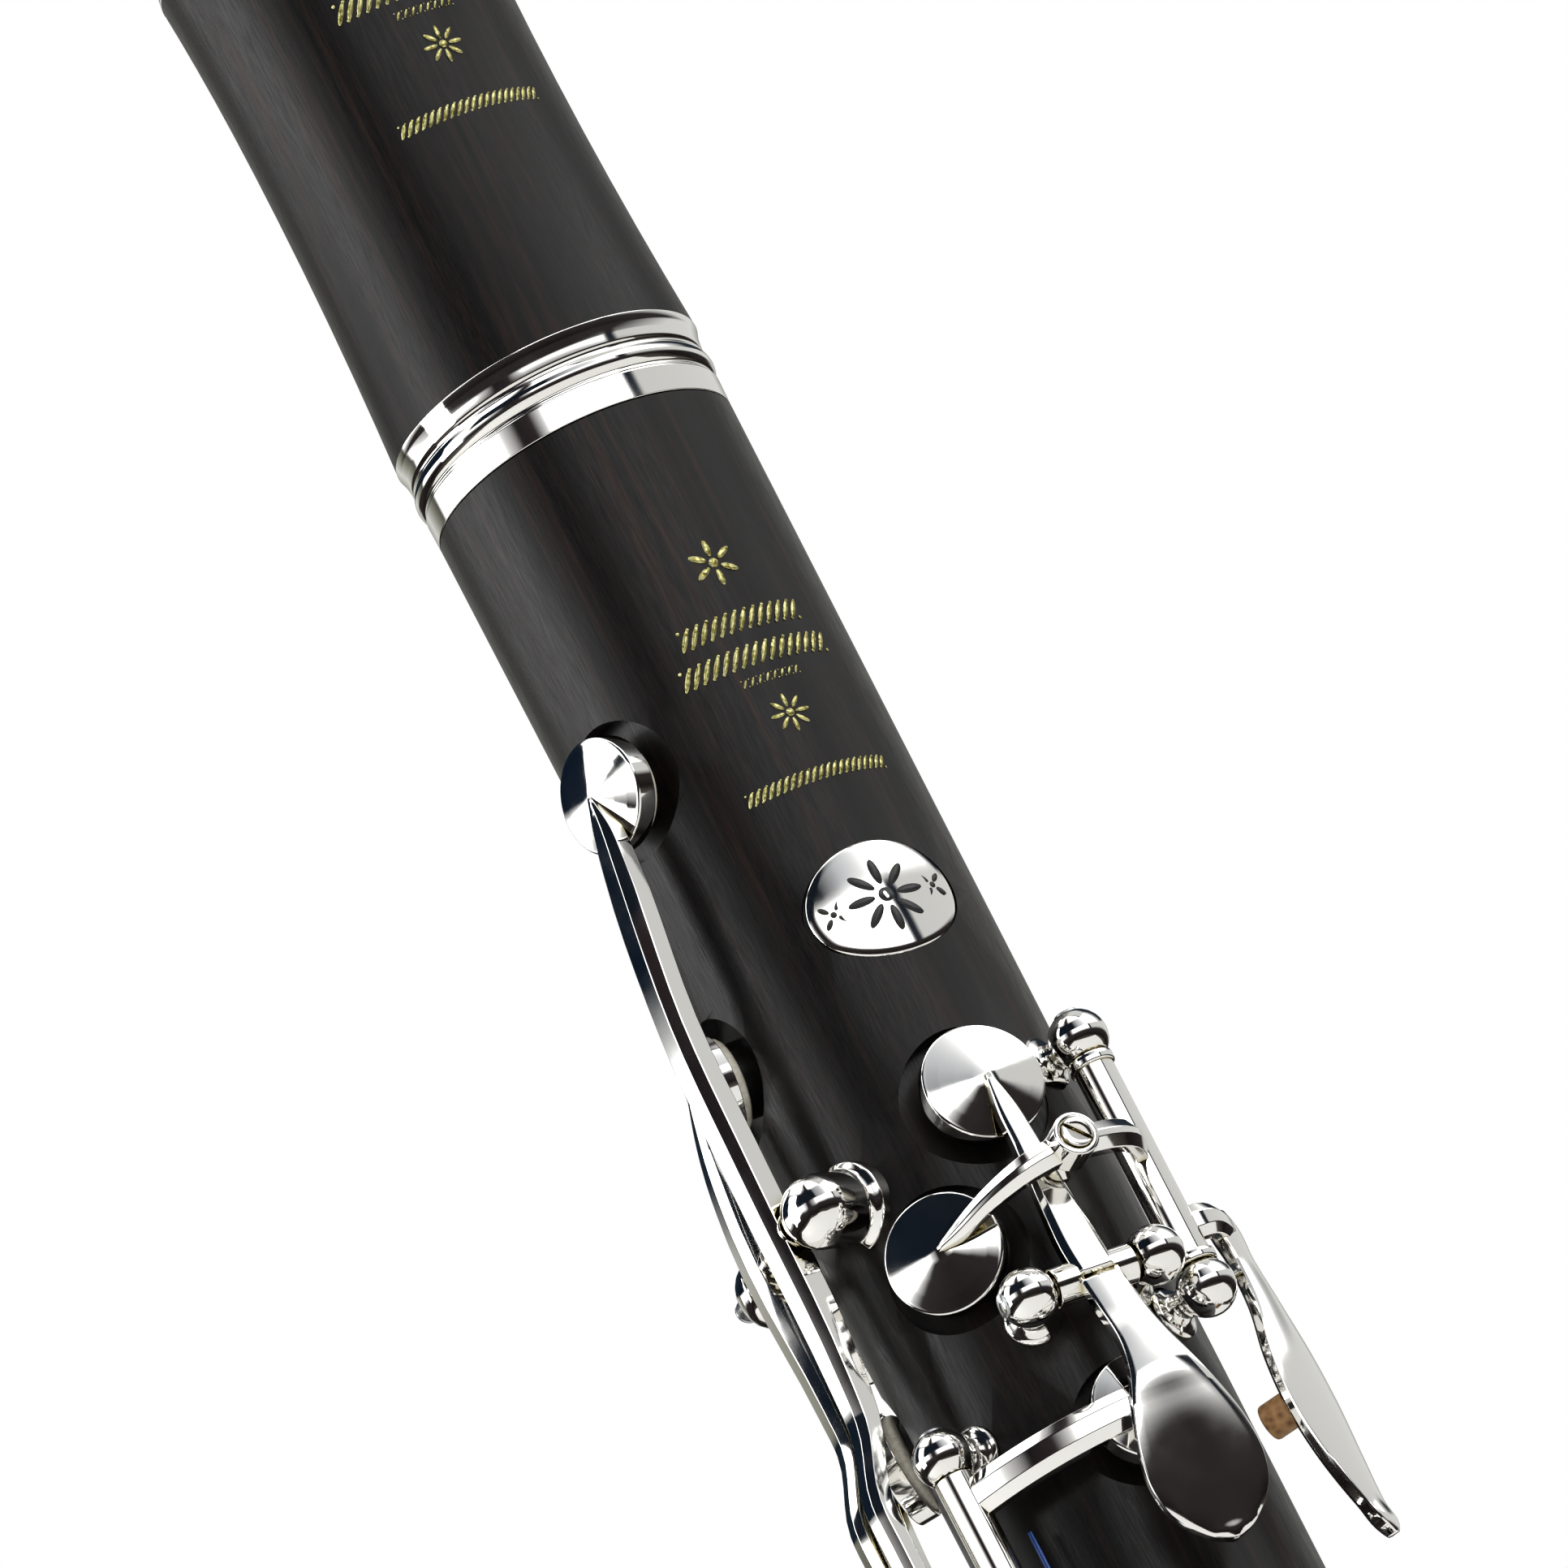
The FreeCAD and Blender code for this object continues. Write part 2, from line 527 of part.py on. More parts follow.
def upper_stack():
    """The ring keys of the left hand, which share one rod on the left of the finger holes."""
    angle, out, step = -67, 18.4, 391.4
    low, high = long_hinge("upper", "upper_stack", angle, out, 344.2, 430.0, [step])
    stop = d.ball_flat + d.end_play
    finger_hole("upper", 399, 3.6)
    finger_hole("upper", 376, 3.8)
    finger_hole("upper", 355, 3.8)
    vent, opened = (-2.9, 425, 5.25), 3.4
    tone_hole("upper", -2.9, 425, 2.8, 5.25)
    metal = [tube(angle, out, step + stop, high), cup(*vent), finger_ring(399), ring_arm(399, angle, out),
             hoop(425, angle, -2.9, out, 17.6, 0.6)]
    key("first_ring_key", metal, [tube_hole(angle, out, step, high), ring_hollow(399)], spot(angle, out, 410),
        UP, opened, vent, opened)
    pad = (40, 387.2, 4.75)
    tone_hole("upper", 40, 387.2, 2.6, 4.75)
    metal = [tube(angle, out, low, step - stop), cup(*pad), finger_ring(376), ring_arm(376, angle, out),
             hoop(387.2, angle, 40, out, 17.3, 1.2, steps=8),
             bar((angle, 18.4, 350.5, 3.4, 2.2, "up"), (-75, 20.3, 349.5, 3.4, 1.8, "up"),
                 (-82, 21.2, 345, 4.0, 1.8, "up")),
             bar((-82, 21.2, 343.5, 4.6, 1.8), (-82, 21.2, 331, 4.6, 1.8))]
    key("upper_stack_key", metal, [tube_hole(angle, out, low, step), ring_hollow(376)], spot(angle, out, 368),
        UP, opened, pad, opened)


def thumb_ring_key():
    """The thumb's ring on the back, on its own short hinge."""
    angle, out = -140, 17.9
    low, high = long_hinge("upper", "thumb_ring", angle, out, 394.0, 412.0)
    finger_hole("upper", 403, 3.4, 180)
    level, edge = wood_radius(403) + d.chimney_rise - d.ring_thick / 2, 6.6
    ring_angle = math.degrees(math.atan2(edge, level)) - 180
    metal = [tube(angle, out, low, high), finger_ring(403, 180),
             hoop(403, angle, ring_angle, out, math.hypot(edge, level), 0.2, 3.4)]
    key("thumb_ring_key", metal, [tube_hole(angle, out, low, high), ring_hollow(403, 180)],
        spot(angle, out, 403), UP.negative(), 4.5, opened=4.5)


def sliver_key(name, where, z):
    """A cross-fingering key between two rings: a short hinge, a sliver touch and a small cup."""
    angle, out, half = -27, 17.8, 5.6
    low, high = long_hinge(where, name, angle, out, z - half, z + half)
    pad = (-46, z, 3.8)
    tone_hole(where, -46, z, 2.4, 3.8)
    top = seat_at(z) + d.pad_proud + d.cup_wall + d.cup_crown - 0.3
    metal = [tube(angle, out, low, high), cup(*pad), hoop(z, -46, angle, top, out, 0.3, 2.4, 3),
             bar((angle, out, z, 4.0, 2.0, "up"), (-17, 18.6, z, 3.4, 1.7, "up"),
                 (-5, 18.2, z, 3.0, 1.7, "up"))]
    key(name, metal, [tube_hole(angle, out, low, high)], spot(angle, out, z), UP, 6.0, pad)


def c_sharp_key():
    """The C sharp and G sharp key of the left little finger, on the right."""
    angle, out = 62, 18.1
    low, high = long_hinge("upper", "c_sharp", angle, out, 343.0, 369.0)
    pad = (32, 362, 5.25)
    tone_hole("upper", 32, 362, 2.8, 5.25)
    metal = [tube(angle, out, low, high), cup(*pad), hoop(362, 32, angle, 17.5, out, 0.5),
             bar((62, 18.1, 352, 4.0, 2.0, "up"), (71, 20.4, 351.5, 4.0, 1.7, "up"),
                 (80, 21.3, 349, 4.4, 1.6, "up")),
             leaf(80, 21.4, 337, 4.2, 349, 2.6)]
    key("c_sharp_key", metal, [tube_hole(angle, out, low, high)], spot(angle, out, 356), UP, 6.0, pad)


# ---------------------------------------------------------------- keys of the lower joint

def lower_stack():
    """The three rings of the right hand on one tube, with a vent cup and the lever that meets the upper
    stack."""
    angle, out, opened = -67, 18.8, 3.4
    low, high = long_hinge("lower", "lower_stack", angle, out, 243.0, 319.0)
    rings = (304, 281, 257)
    for z in rings:
        finger_hole("lower", z, 4.0)
    pad = (40, 314.5, 4.75)
    tone_hole("lower", 40, 314.5, 2.8, 4.75)
    metal = [tube(angle, out, low, high), cup(*pad), hoop(314.5, angle, 40, out, 18.0, 1.2, steps=8),
             bar((angle, 18.8, 312, 4.0, 2.2, "up"), (-75, 19.0, 314, 4.0, 1.8, "up"),
                 (-82, 19.0, 318, 4.6, 1.7, "up")),
             bar((-82, 19.0, 316, 4.2, 1.7), (-82, 19.0, 336, 4.2, 1.7))]
    metal += [finger_ring(z) for z in rings] + [ring_arm(z, angle, out) for z in rings]
    hollows = [tube_hole(angle, out, low, high)] + [ring_hollow(z) for z in rings]
    key("lower_stack_key", metal, hollows, spot(angle, out, 281), UP, opened, pad, opened)


def a_flat_key():
    """The A flat and E flat key of the right little finger, hinged across the bore on the left."""
    angle, out, z = -85, 18.9, 222
    low, high = cross_hinge("lower", "a_flat", angle, out, z, 6.4)
    pad = (-98, 240, 6.2)
    tone_hole("lower", -98, 240, 4.2, 6.2)
    metal = [cross_tube(angle, out, z, low, high), cup(*pad),
             bar((-98, 18.4, 240, 1.8, 1.7), (-95, 19.1, 233, 3.0, 1.7), (-85, 19.2, 223, 3.6, 1.8),
                 (-74, 21.2, 215, 4.0, 1.7), (-62, 21.6, 210, 6.0, 1.6)),
             leaf(-58, 21.8, 203, 5.2, 212, 3.4)]
    key("a_flat_key", metal, [cross_hole(angle, out, z, low, high)], spot(angle, out, z), around(angle),
        5.0, pad)


LEVER_ANGLE, LEVER_Z = 90, 262


def little_finger_keys():
    """The three large open cups near the bell. Each has a tube of its own on the right, a plate for the right
    little finger and a crank that a left-hand lever lifts."""
    keys = {
        # name: tube angle, tube out, lowest post, pad (angle, z, radius), hole, plate z and width, bulge
        "f_key": (58, 18.9, 187.0, (-18, 198, 7.4), 5.2, 215.8, 4.6, 2.6),
        "f_sharp_key": (80, 19.2, 163.0, (8, 172, 7.7), 5.4, 225.5, 4.6, 3.2),
        "e_key": (103, 19.2, 129.0, (5, 138, 8.2), 5.8, 235.2, 4.6, 4.4),
    }
    top_post = 243.0
    for name, (angle, out, foot, pad, hole, plate_z, plate_width, bulge) in keys.items():
        low, high = long_hinge("lower", name, angle, out, foot, top_post)
        tone_hole("lower", pad[0], pad[1], hole, pad[2])
        crown = seat_at(pad[1]) + d.pad_proud + d.cup_wall + d.cup_crown - 0.3
        metal = [tube(angle, out, low, high), cup(*pad),
                 hoop(pad[1], angle, pad[0], out, crown, 1.0, 3.6, 8),
                 hoop(plate_z, angle, 0, out, 22.0, bulge, 3.0, 8),
                 hoop(plate_z, 1, -24, 22.0, 22.4, 0.6, plate_width),
                 bar((angle, out, 239, 3.0, 2.2, "up"), (angle + 5, out + 1.8, 239, 3.0, 1.8, "up"),
                     (angle + 10, out + 2.9, 239, 3.0, 1.7, "up")),
                 bar((angle + 10, out + 2.9, 237.6, 2.4, 1.6), (angle + 10, out + 2.9, 249, 2.4, 1.6))]
        key(name, metal, [tube_hole(angle, out, low, high)], spot(angle, out, 239), UP.negative(),
            4.0, pad, 4.0)


def left_hand_levers():
    """Three levers of the left little finger, side by side on one hinge across the right of the lower
    joint."""
    out = 18.9
    low, high = cross_hinge("lower", "levers", LEVER_ANGLE, out, LEVER_Z, 13.0)
    gap = 0.1
    lane = (high - low) / 3
    for i, name in enumerate(["f_lever", "f_sharp_lever", "e_lever"]):
        start, finish = low + lane * i + gap / 2, low + lane * (i + 1) - gap / 2
        offset = (start + finish) / 2
        angle, reach = LEVER_ANGLE + math.degrees(math.atan2(offset, out)), math.hypot(offset, out)
        metal = [cross_tube(LEVER_ANGLE, out, LEVER_Z, start, finish),
                 bar((angle, 19.4, 246.6, 3.0, 1.5), (angle, 19.4, 250, 3.2, 1.6),
                     (angle, reach, 259, 3.4, 1.9), (angle, reach + 0.4, 266, 3.4, 1.9),
                     (angle, reach + 2.0, 280, 3.4, 1.8), (angle, reach + 2.0, 298, 4.0, 1.7)),
                 leaf(angle, reach + 2.0, 309 + 5 * (i % 2), 3.2, 297, 2.4)]
        key(name, metal, [cross_hole(LEVER_ANGLE, out, LEVER_Z, start, finish)],
            spot(LEVER_ANGLE, out, LEVER_Z), around(LEVER_ANGLE).negative(), 2.6)


# ---------------------------------------------------------------- wood and fittings

def tenon(foot, length, radius, way):
    """Corners of a tenon with its cork groove, from its free end at foot, inwards along the joint."""
    sign = "+" if way > 0 else "-"
    rim, floor = f"dims.{radius}", f"dims.{radius} - dims.cork_depth"
    first = f"{foot} {sign} dims.cork_margin"
    shoulder = f"{foot} {sign} dims.{length}"
    last = f"{shoulder} {'-' if way > 0 else '+'} dims.cork_margin"
    return [(rim, foot), (rim, first), (floor, first), (floor, last), (rim, last), (rim, shoulder)]


def cork(name, foot, length, radius, way):
    """The cork that fills a tenon's groove and bears on the socket."""
    ends = sorted([foot + way * d.cork_margin, foot + way * (length - d.cork_margin)])
    return sleeve(name, radius + d.tenon_slack - d.cork_slack, radius - d.cork_depth, *ends)


def upper_joint():
    """The upper joint's wood, with chimneys, holes and the seats of its posts."""
    low, high = "dims.lower_top - dims.tenon_length", "dims.upper_top + dims.tenon_length"
    outline = [("dims.bore_radius", low)] + tenon(low, "tenon_length", "tenon_radius", 1)
    outline += [("dims.upper_end_radius", "dims.lower_top"), ("dims.upper_top_radius", "dims.upper_top")]
    outline += tenon(high, "tenon_length", "tenon_radius", -1)[::-1] + [("dims.bore_radius", high)]
    wood = fuse("upper_wood", [turned("upper_turning", outline)] + chimneys["upper"])
    oval = medallion()
    fittings = [keep("medallion", oval), keep("register_tube", register_tube())]
    tools = shaped("upper_hole_tools", Part.makeCompound(tone_holes["upper"]))
    holes = compound("upper_holes", [tools] + fittings)
    seats = keep("upper_posts", shaped("upper_posts", Part.makeCompound(posts["upper"])))
    keep("upper_joint_body", cut("upper_joint_cut", cut("upper_joint_holed", wood, holes), seats))
    foot, top = d.lower_top - d.tenon_length, d.upper_top + d.tenon_length
    keep("tenon_corks", compound("corks", [
        cork("cork_low", foot, d.tenon_length, d.tenon_radius, 1),
        cork("cork_high", top, d.tenon_length, d.tenon_radius, -1),
        cork("cork_bell", d.bell_top - d.bell_tenon_length, d.bell_tenon_length, d.bell_tenon_radius, 1)]))


def medallion():
    """A plain oval plate let into the wood above the throat keys."""
    z, half_wide, half_high, proud, depth = 480.2, 7.5, 5.7, 0.15, 0.5
    centre = spot(0, 10, z)
    oval = Part.Ellipse(centre + Vector(half_wide, 0, 0), centre + UP * half_high, centre)
    prism = Part.Face(Part.Wire([oval.toShape()])).extrude(radial(0) * 8)
    skin = Part.makeCylinder(wood_radius(z) + proud, 20, UP * (z - 10), UP)
    core = Part.makeCylinder(wood_radius(z) - depth, 20, UP * (z - 10), UP)
    return shaped("medallion", prism.common(skin.cut(core)))


def register_tube():
    """The metal tube in the speaker vent, which stands a little way into the bore."""
    z, outer, inner, start = 488, 2.3, 1.5, 5.0
    length, base, way = seat_at(z) - start, spot(180, start, z), radial(180)
    return cut("register_tube", cylinder("register_tube_out", outer, length, base, way),
               cylinder("register_tube_in", inner, length, base, way))


def lower_joint():
    """The lower joint's wood: socket for the upper joint, tapered bore and tenon for the bell."""
    foot = "dims.bell_top - dims.bell_tenon_length"
    socket = "dims.lower_top - dims.tenon_length - dims.tenon_slack"
    wide = "dims.tenon_radius + dims.tenon_slack"
    ring_foot = "dims.lower_top - dims.socket_ring_height"
    outline = [("dims.lower_bore_end", foot)] + tenon(foot, "bell_tenon_length", "bell_tenon_radius", 1)
    outline += [("dims.lower_end_radius", "dims.bell_top"), ("dims.lower_top_radius", f"{ring_foot} - 10"),
                ("dims.socket_ring - 0.4", f"{ring_foot} - 0.5"), ("dims.socket_ring - 0.4", ring_foot),
                ("dims.socket_wood", ring_foot), ("dims.socket_wood", "dims.lower_top"),
                (wide, "dims.lower_top"), (wide, socket), ("dims.bore_radius", socket),
                ("dims.bore_radius", "dims.taper_start")]
    wood = fuse("lower_wood", [turned("lower_turning", outline)] + chimneys["lower"])
    holes = shaped("lower_hole_tools", Part.makeCompound(tone_holes["lower"]))
    seats = keep("lower_posts", shaped("lower_posts", Part.makeCompound(posts["lower"])))
    rest, screws = thumb_rest()
    tools = compound("lower_seats", [seats, screws])
    keep("lower_joint_body", cut("lower_joint_cut", cut("lower_joint_holed", wood, holes), tools))
    keep("thumb_rest", rest)
    keep("thumb_rest_screws", screws)
    ring_low = d.lower_top - d.socket_ring_height
    keep("socket_ring", sleeve("socket_ring", d.socket_ring, d.socket_wood, ring_low, d.lower_top))


THUMB_Z = 292.0
STRAP_RING = (19.6, 304.5, 2.6, 2.4)


def thumb_rest():
    """The right thumb's hook on the back: a curved plate, a shelf, and a ring for a neck strap."""
    skin, foot = wood_radius(THUMB_Z) + 0.12, UP * (THUMB_Z - 12)
    plate = Part.makeCylinder(skin + 1.5, 30, foot, UP).cut(Part.makeCylinder(skin, 30, foot, UP))
    plate = plate.common(Part.makeBox(11, 10, 24, Vector(-5.5, 8, THUMB_Z - 12)))
    shelf = Part.makeBox(10.5, 16, 2.6, Vector(-5.25, skin + 0.6, THUMB_Z - 3))
    edge = Part.makeCylinder(1.3, 10.5, Vector(-5.25, skin + 16.6, THUMB_Z - 1.7), Vector(1, 0, 0))
    shelf = shelf.fuse(edge)
    out, z, hole, width = STRAP_RING
    ring = Part.makeCylinder(hole + 1.4, width, spot(180, out, z, -width / 2), around(180))
    neck = Part.makeBox(width, out - skin - 0.4, 3.0, Vector(-width / 2, skin + 0.4, z - 3.6))
    eye = Part.makeCylinder(hole, width + 4, spot(180, out, z, -width / 2 - 2), around(180))
    screws = []
    metal = plate.fuse([shelf, ring, neck]).cut(eye)
    for height in (THUMB_Z - 8.5, THUMB_Z + 6.2):
        shank = Part.makeCylinder(1.1, 6.5, spot(180, skin - 5, height), radial(180))
        head = Part.makeCylinder(2.1, 0.9, spot(180, skin + 1.5, height), radial(180))
        screws.append(shank.fuse(head))
        metal = metal.cut(screws[-1])
    return shaped("thumb_rest", metal), shaped("thumb_rest_screws", Part.makeCompound(screws))


def bell():
    """The bell: a flared cup with a metal ring round its socket and a rim ring that it stands on."""
    top, socket = d.bell_top - d.seam, d.bell_top - d.bell_tenon_length - d.tenon_slack
    wide, ring_foot, ring_wood, rim_wood = d.bell_tenon_radius + d.tenon_slack, 97.0, 16.2, 38.4
    outside = curve((rim_wood, d.rim_height), (31.0, 17.5), (24.4, 34.0), (19.6, 56.0), (16.9, 80.0),
                    (16.6, ring_foot))
    inside = curve((d.lower_bore_end + 0.2, socket), (12.0, 66.0), (15.2, 46.0), (20.0, 24.0),
                   (d.bell_lip, 0.0))
    edges = line((d.bell_lip, 0), (rim_wood, 0), (rim_wood, d.rim_height)) + outside
    edges += line((16.6, ring_foot), (ring_wood, ring_foot), (ring_wood, top), (wide, top), (wide, socket),
                  (d.lower_bore_end + 0.2, socket)) + inside
    keep("bell_body", spun("bell_body", edges))
    rim = spun("rim_ring", line((rim_wood, 0), (d.rim_radius, 0), (d.rim_radius, d.rim_height - 1),
                                (d.rim_radius - 0.4, d.rim_height), (rim_wood, d.rim_height), (rim_wood, 0)))
    collar = spun("bell_collar", line((ring_wood, ring_foot), (17.0, ring_foot), (17.4, ring_foot + 1),
                                      (17.4, top - 1), (17.0, top), (ring_wood, top), (ring_wood, ring_foot)))
    keep("bell_rings", compound("bell_rings", [rim, collar]))


def barrel():
    """The barrel: waisted wood with a metal ring round the socket at each end."""
    low, high = d.upper_top + d.seam, d.barrel_top
    ring_top, ring_foot = low + d.ring_height, high - 8.0
    socket_low, socket_high = d.upper_top + d.tenon_length + d.tenon_slack, high - 16.1
    wide, seat = d.tenon_radius + d.tenon_slack, d.ring_seat
    edges = line((wide, low), (seat, low), (seat, ring_top), (d.ring_high - 0.05, ring_top))
    edges += curve((d.ring_high - 0.05, ring_top), (14.35, 552.0), (d.barrel_waist, 571.0), (14.1, 582.0),
                   (14.55, ring_foot))
    edges += line((14.55, ring_foot), (seat, ring_foot), (seat, high), (wide, high), (wide, socket_high),
                  (d.bore_radius, socket_high), (d.bore_radius, socket_low), (wide, socket_low), (wide, low))
    keep("barrel_body", spun("barrel_body", edges))
    lower = line((seat, low), (d.ring_low, low), (d.ring_low + 0.02, low + 2.9), (14.3, low + 3.1),
                 (14.3, low + 3.4), (14.55, low + 3.6))
    lower += curve((14.55, low + 3.6), (14.78, low + 4.45), (14.6, low + 5.2))
    lower += line((14.6, low + 5.2), (14.35, low + 5.35), (14.35, low + 5.65), (14.6, low + 5.85),
                  (14.68, low + 6.4), (d.ring_high, ring_top), (seat, ring_top), (seat, low))
    upper = line((seat, ring_foot), (14.6, ring_foot), (14.35, ring_foot + 1.6), (14.35, ring_foot + 3.0),
                 (14.6, ring_foot + 3.4), (14.6, high - 0.3), (14.3, high), (seat, high), (seat, ring_foot))
    rings = [spun("barrel_ring_low", lower), spun("barrel_ring_high", upper)]
    keep("barrel_rings", compound("barrel_rings", rings))


REED_PLANE = 9.2
CLAMP_OUT, CLAMP_Z = 16.2, 622.5


def mouthpiece():
    """Mouthpiece with beak, table and window, its cork, the cane reed and the band that holds the reed."""
    foot, shoulder, tip = d.barrel_top - 16.0, d.barrel_top + d.seam, d.mouth_top
    floor = d.tenon_radius - d.cork_depth
    edges = line((d.bore_radius, foot), (d.tenon_radius, foot), (d.tenon_radius, foot + d.cork_margin),
                 (floor, foot + d.cork_margin), (floor, shoulder - d.cork_margin),
                 (d.tenon_radius, shoulder - d.cork_margin), (d.tenon_radius, shoulder),
                 (13.3, shoulder), (13.3, shoulder + 2.4))
    edges += curve((13.3, shoulder + 2.4), (12.9, 606.0), (12.25, 612.0))
    edges += line((12.25, 612.0), (12.15, 636.0))
    edges += curve((12.15, 636.0), (11.7, 652.0), (10.4, tip))
    edges += line((10.4, tip), (0, tip), (0, 646), (d.bore_radius, 638), (d.bore_radius, foot))
    blank = spun("mouthpiece_blank", edges)
    slope = [Vector(-15, -14, 639), Vector(-15, 8.2, tip + 0.01), Vector(-15, -14, tip + 5)]
    beak = Part.Face(Part.makePolygon(slope + [slope[0]])).extrude(Vector(30, 0, 0))
    table = Part.makeBox(30, 10, 80, Vector(-15, REED_PLANE, 603.5))
    window = Part.makeBox(11.6, 12, 30.5, Vector(-5.8, 0, 638))
    keep("mouthpiece", cut("mouthpiece", blank, shaped("mouthpiece_tools", beak.fuse([table, window]))))
    keep("mouthpiece_cork", sleeve("mouthpiece_cork", d.tenon_radius + d.tenon_slack, floor,
                                   foot + d.cork_margin, shoulder - d.cork_margin))
    side = [(REED_PLANE, 604), (12.6, 604), (12.6, 637), (9.65, 671), (REED_PLANE, 671.5)]
    corners = [Vector(-6.3, y, z) for y, z in side]
    slab = Part.Face(Part.makePolygon(corners + [corners[0]])).extrude(Vector(12.6, 0, 0))
    keep("reed", shaped("reed", slab.common(Part.makeCylinder(12.1, 80, UP * 600, UP))))
    band = Part.makeCylinder(13.0, 22, UP * 612.5, UP)
    ears = [Part.makeBox(4.0, 6.2, 12, Vector(x, 12.1, CLAMP_Z - 6)) for x in (-7.0, 3.0)]
    band = band.fuse(ears).cut(Part.makeBox(5.6, 20, 40, Vector(-2.8, 5, 600)))
    eye = Part.makeCylinder(1.25, 30, Vector(-15, CLAMP_OUT, CLAMP_Z), Vector(1, 0, 0))
    band = band.cut(eye.fuse(Part.makeCylinder(12.28, 22, UP * 612.5, UP)))
    keep("ligature_band", shaped("ligature_band", band))
    stem = Part.makeCylinder(1.2, 17.5, Vector(-8.0, CLAMP_OUT, CLAMP_Z), Vector(1, 0, 0))
    knob = Part.makeCylinder(3.6, 5.0, Vector(7.6, CLAMP_OUT, CLAMP_Z), Vector(1, 0, 0))
    stop = Part.makeCylinder(1.9, 0.9, Vector(-8.2, CLAMP_OUT, CLAMP_Z), Vector(1, 0, 0))
    keep("ligature_screw", shaped("ligature_screw", stem.fuse([knob, stop])))
    joints["ligature_screw"] = (Vector(0, CLAMP_OUT, CLAMP_Z), Vector(1, 0, 0), 360)


# ---------------------------------------------------------------- assembly and output

register_key()
throat_a_key()
throat_g_sharp_key()
trill_keys()
side_key_3()
side_key_4()
upper_stack()
thumb_ring_key()
sliver_key("upper_sliver_key", "upper", 363.9)
c_sharp_key()
lower_stack()
sliver_key("lower_sliver_key", "lower", 269)
a_flat_key()
little_finger_keys()
left_hand_levers()

for angle, out, low, high in [(44, 16.6, 452.5, 460), (-56, 16.4, 402, 420), (-57, 16.2, 346, 358),
                              (72, 16.9, 346, 360), (-57, 16.6, 285, 300), (-78, 17.2, 284, 310)]:
    needle(angle, out, low, high)
keep("hinge_rods", compound("hinge_rods", rods))
keep("needle_springs", compound("needle_springs", needles))
upper_joint()
lower_joint()
bell()
barrel()
mouthpiece()

doc.recompute()
for piece in doc.Objects:
    if "Invalid" in piece.State or "Error" in piece.State:
        raise SystemExit(f"{piece.Label} failed: {piece.State}")
for label, piece in parts.items():
    if piece.Shape.isNull() or not piece.Shape.isValid() or not piece.Shape.Solids:
        raise SystemExit(f"{label} has no valid shape")

os.makedirs("parts", exist_ok=True)
for label, piece in parts.items():
    piece.Shape.exportStep(f"parts/{label}.step")
print(len(parts), "parts written")
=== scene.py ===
"""The looks of a Boehm-system B-flat clarinet: oiled grenadilla with silver-plated keys, posts and rings,
skin pads, an ebonite mouthpiece and a cane reed. Sizes are millimetres and angles are degrees, as on a key
maker's drawing: an angle is measured round the bore from the front, positive towards +X, "out" is a distance
from the bore's axis, and a mesh is brought to metres when it becomes a piece. Left and right are said facing
the front, so +X is on the right."""

import math

import bmesh
import bpy
from mathutils import Matrix, Vector


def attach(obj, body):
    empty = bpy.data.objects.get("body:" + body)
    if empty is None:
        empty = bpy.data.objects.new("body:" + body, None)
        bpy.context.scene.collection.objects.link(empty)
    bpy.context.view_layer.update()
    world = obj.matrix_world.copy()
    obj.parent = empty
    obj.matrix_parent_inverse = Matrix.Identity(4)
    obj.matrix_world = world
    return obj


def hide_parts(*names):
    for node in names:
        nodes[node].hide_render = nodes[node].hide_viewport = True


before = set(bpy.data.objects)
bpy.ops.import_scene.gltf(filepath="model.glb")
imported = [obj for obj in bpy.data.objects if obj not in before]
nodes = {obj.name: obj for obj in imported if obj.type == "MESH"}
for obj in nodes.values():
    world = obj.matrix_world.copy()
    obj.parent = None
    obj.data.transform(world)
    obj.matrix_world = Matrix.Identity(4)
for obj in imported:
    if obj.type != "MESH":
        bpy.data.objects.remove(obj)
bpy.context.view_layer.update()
MM = 0.001
UP = Vector((0, 0, 1))


# ------------------------ camera
# A long lens looks at the upper joint from the left of its front and from below. It is rolled, so that the
# bore lies from the upper left to the lower right.

def radial(angle):
    """Unit vector that points straight out of the bore at an angle."""
    a = math.radians(angle)
    return Vector((math.sin(a), -math.cos(a), 0))


def around(angle):
    """Unit vector along the wood's surface at an angle, towards larger angles."""
    a = math.radians(angle)
    return Vector((math.cos(a), math.sin(a), 0))


def spot(angle, out, z, along=0.0):
    """A point at a distance out of the bore's axis at an angle, and along the surface from there."""
    return radial(angle) * out + around(angle) * along + UP * z


view_side, view_lift, view_roll = -27.4, -20.2, 27.3
view_distance, view_width = 6000.0, 139.7
target_height, target_aside = 498.7, 3.18
target = UP * target_height + around(view_side) * target_aside
lift, roll = math.radians(view_lift), math.radians(view_roll)
back = radial(view_side) * math.cos(lift) + UP * math.sin(lift)
level = around(view_side)
upright = back.cross(level)
pose = Matrix((level * math.cos(roll) - upright * math.sin(roll),
               level * math.sin(roll) + upright * math.cos(roll), back)).transposed().to_4x4()
pose.translation = (target + back * view_distance) * MM
camera = bpy.data.objects.new("camera", bpy.data.cameras.new("camera"))
camera.data.lens = camera.data.sensor_width * view_distance / view_width
camera.data.clip_start, camera.data.clip_end = 0.05, 20
camera.matrix_world = pose
bpy.context.scene.collection.objects.link(camera)
bpy.context.scene.camera = camera
bpy.context.scene.view_settings.view_transform = "Standard"


# ------------------------ studio light
# White cloth stands round the instrument, with dark gaps between its panels for the plating to mirror. Every
# other ray meets plain white. A softbox on the left, sized in metres, adds light from the side.

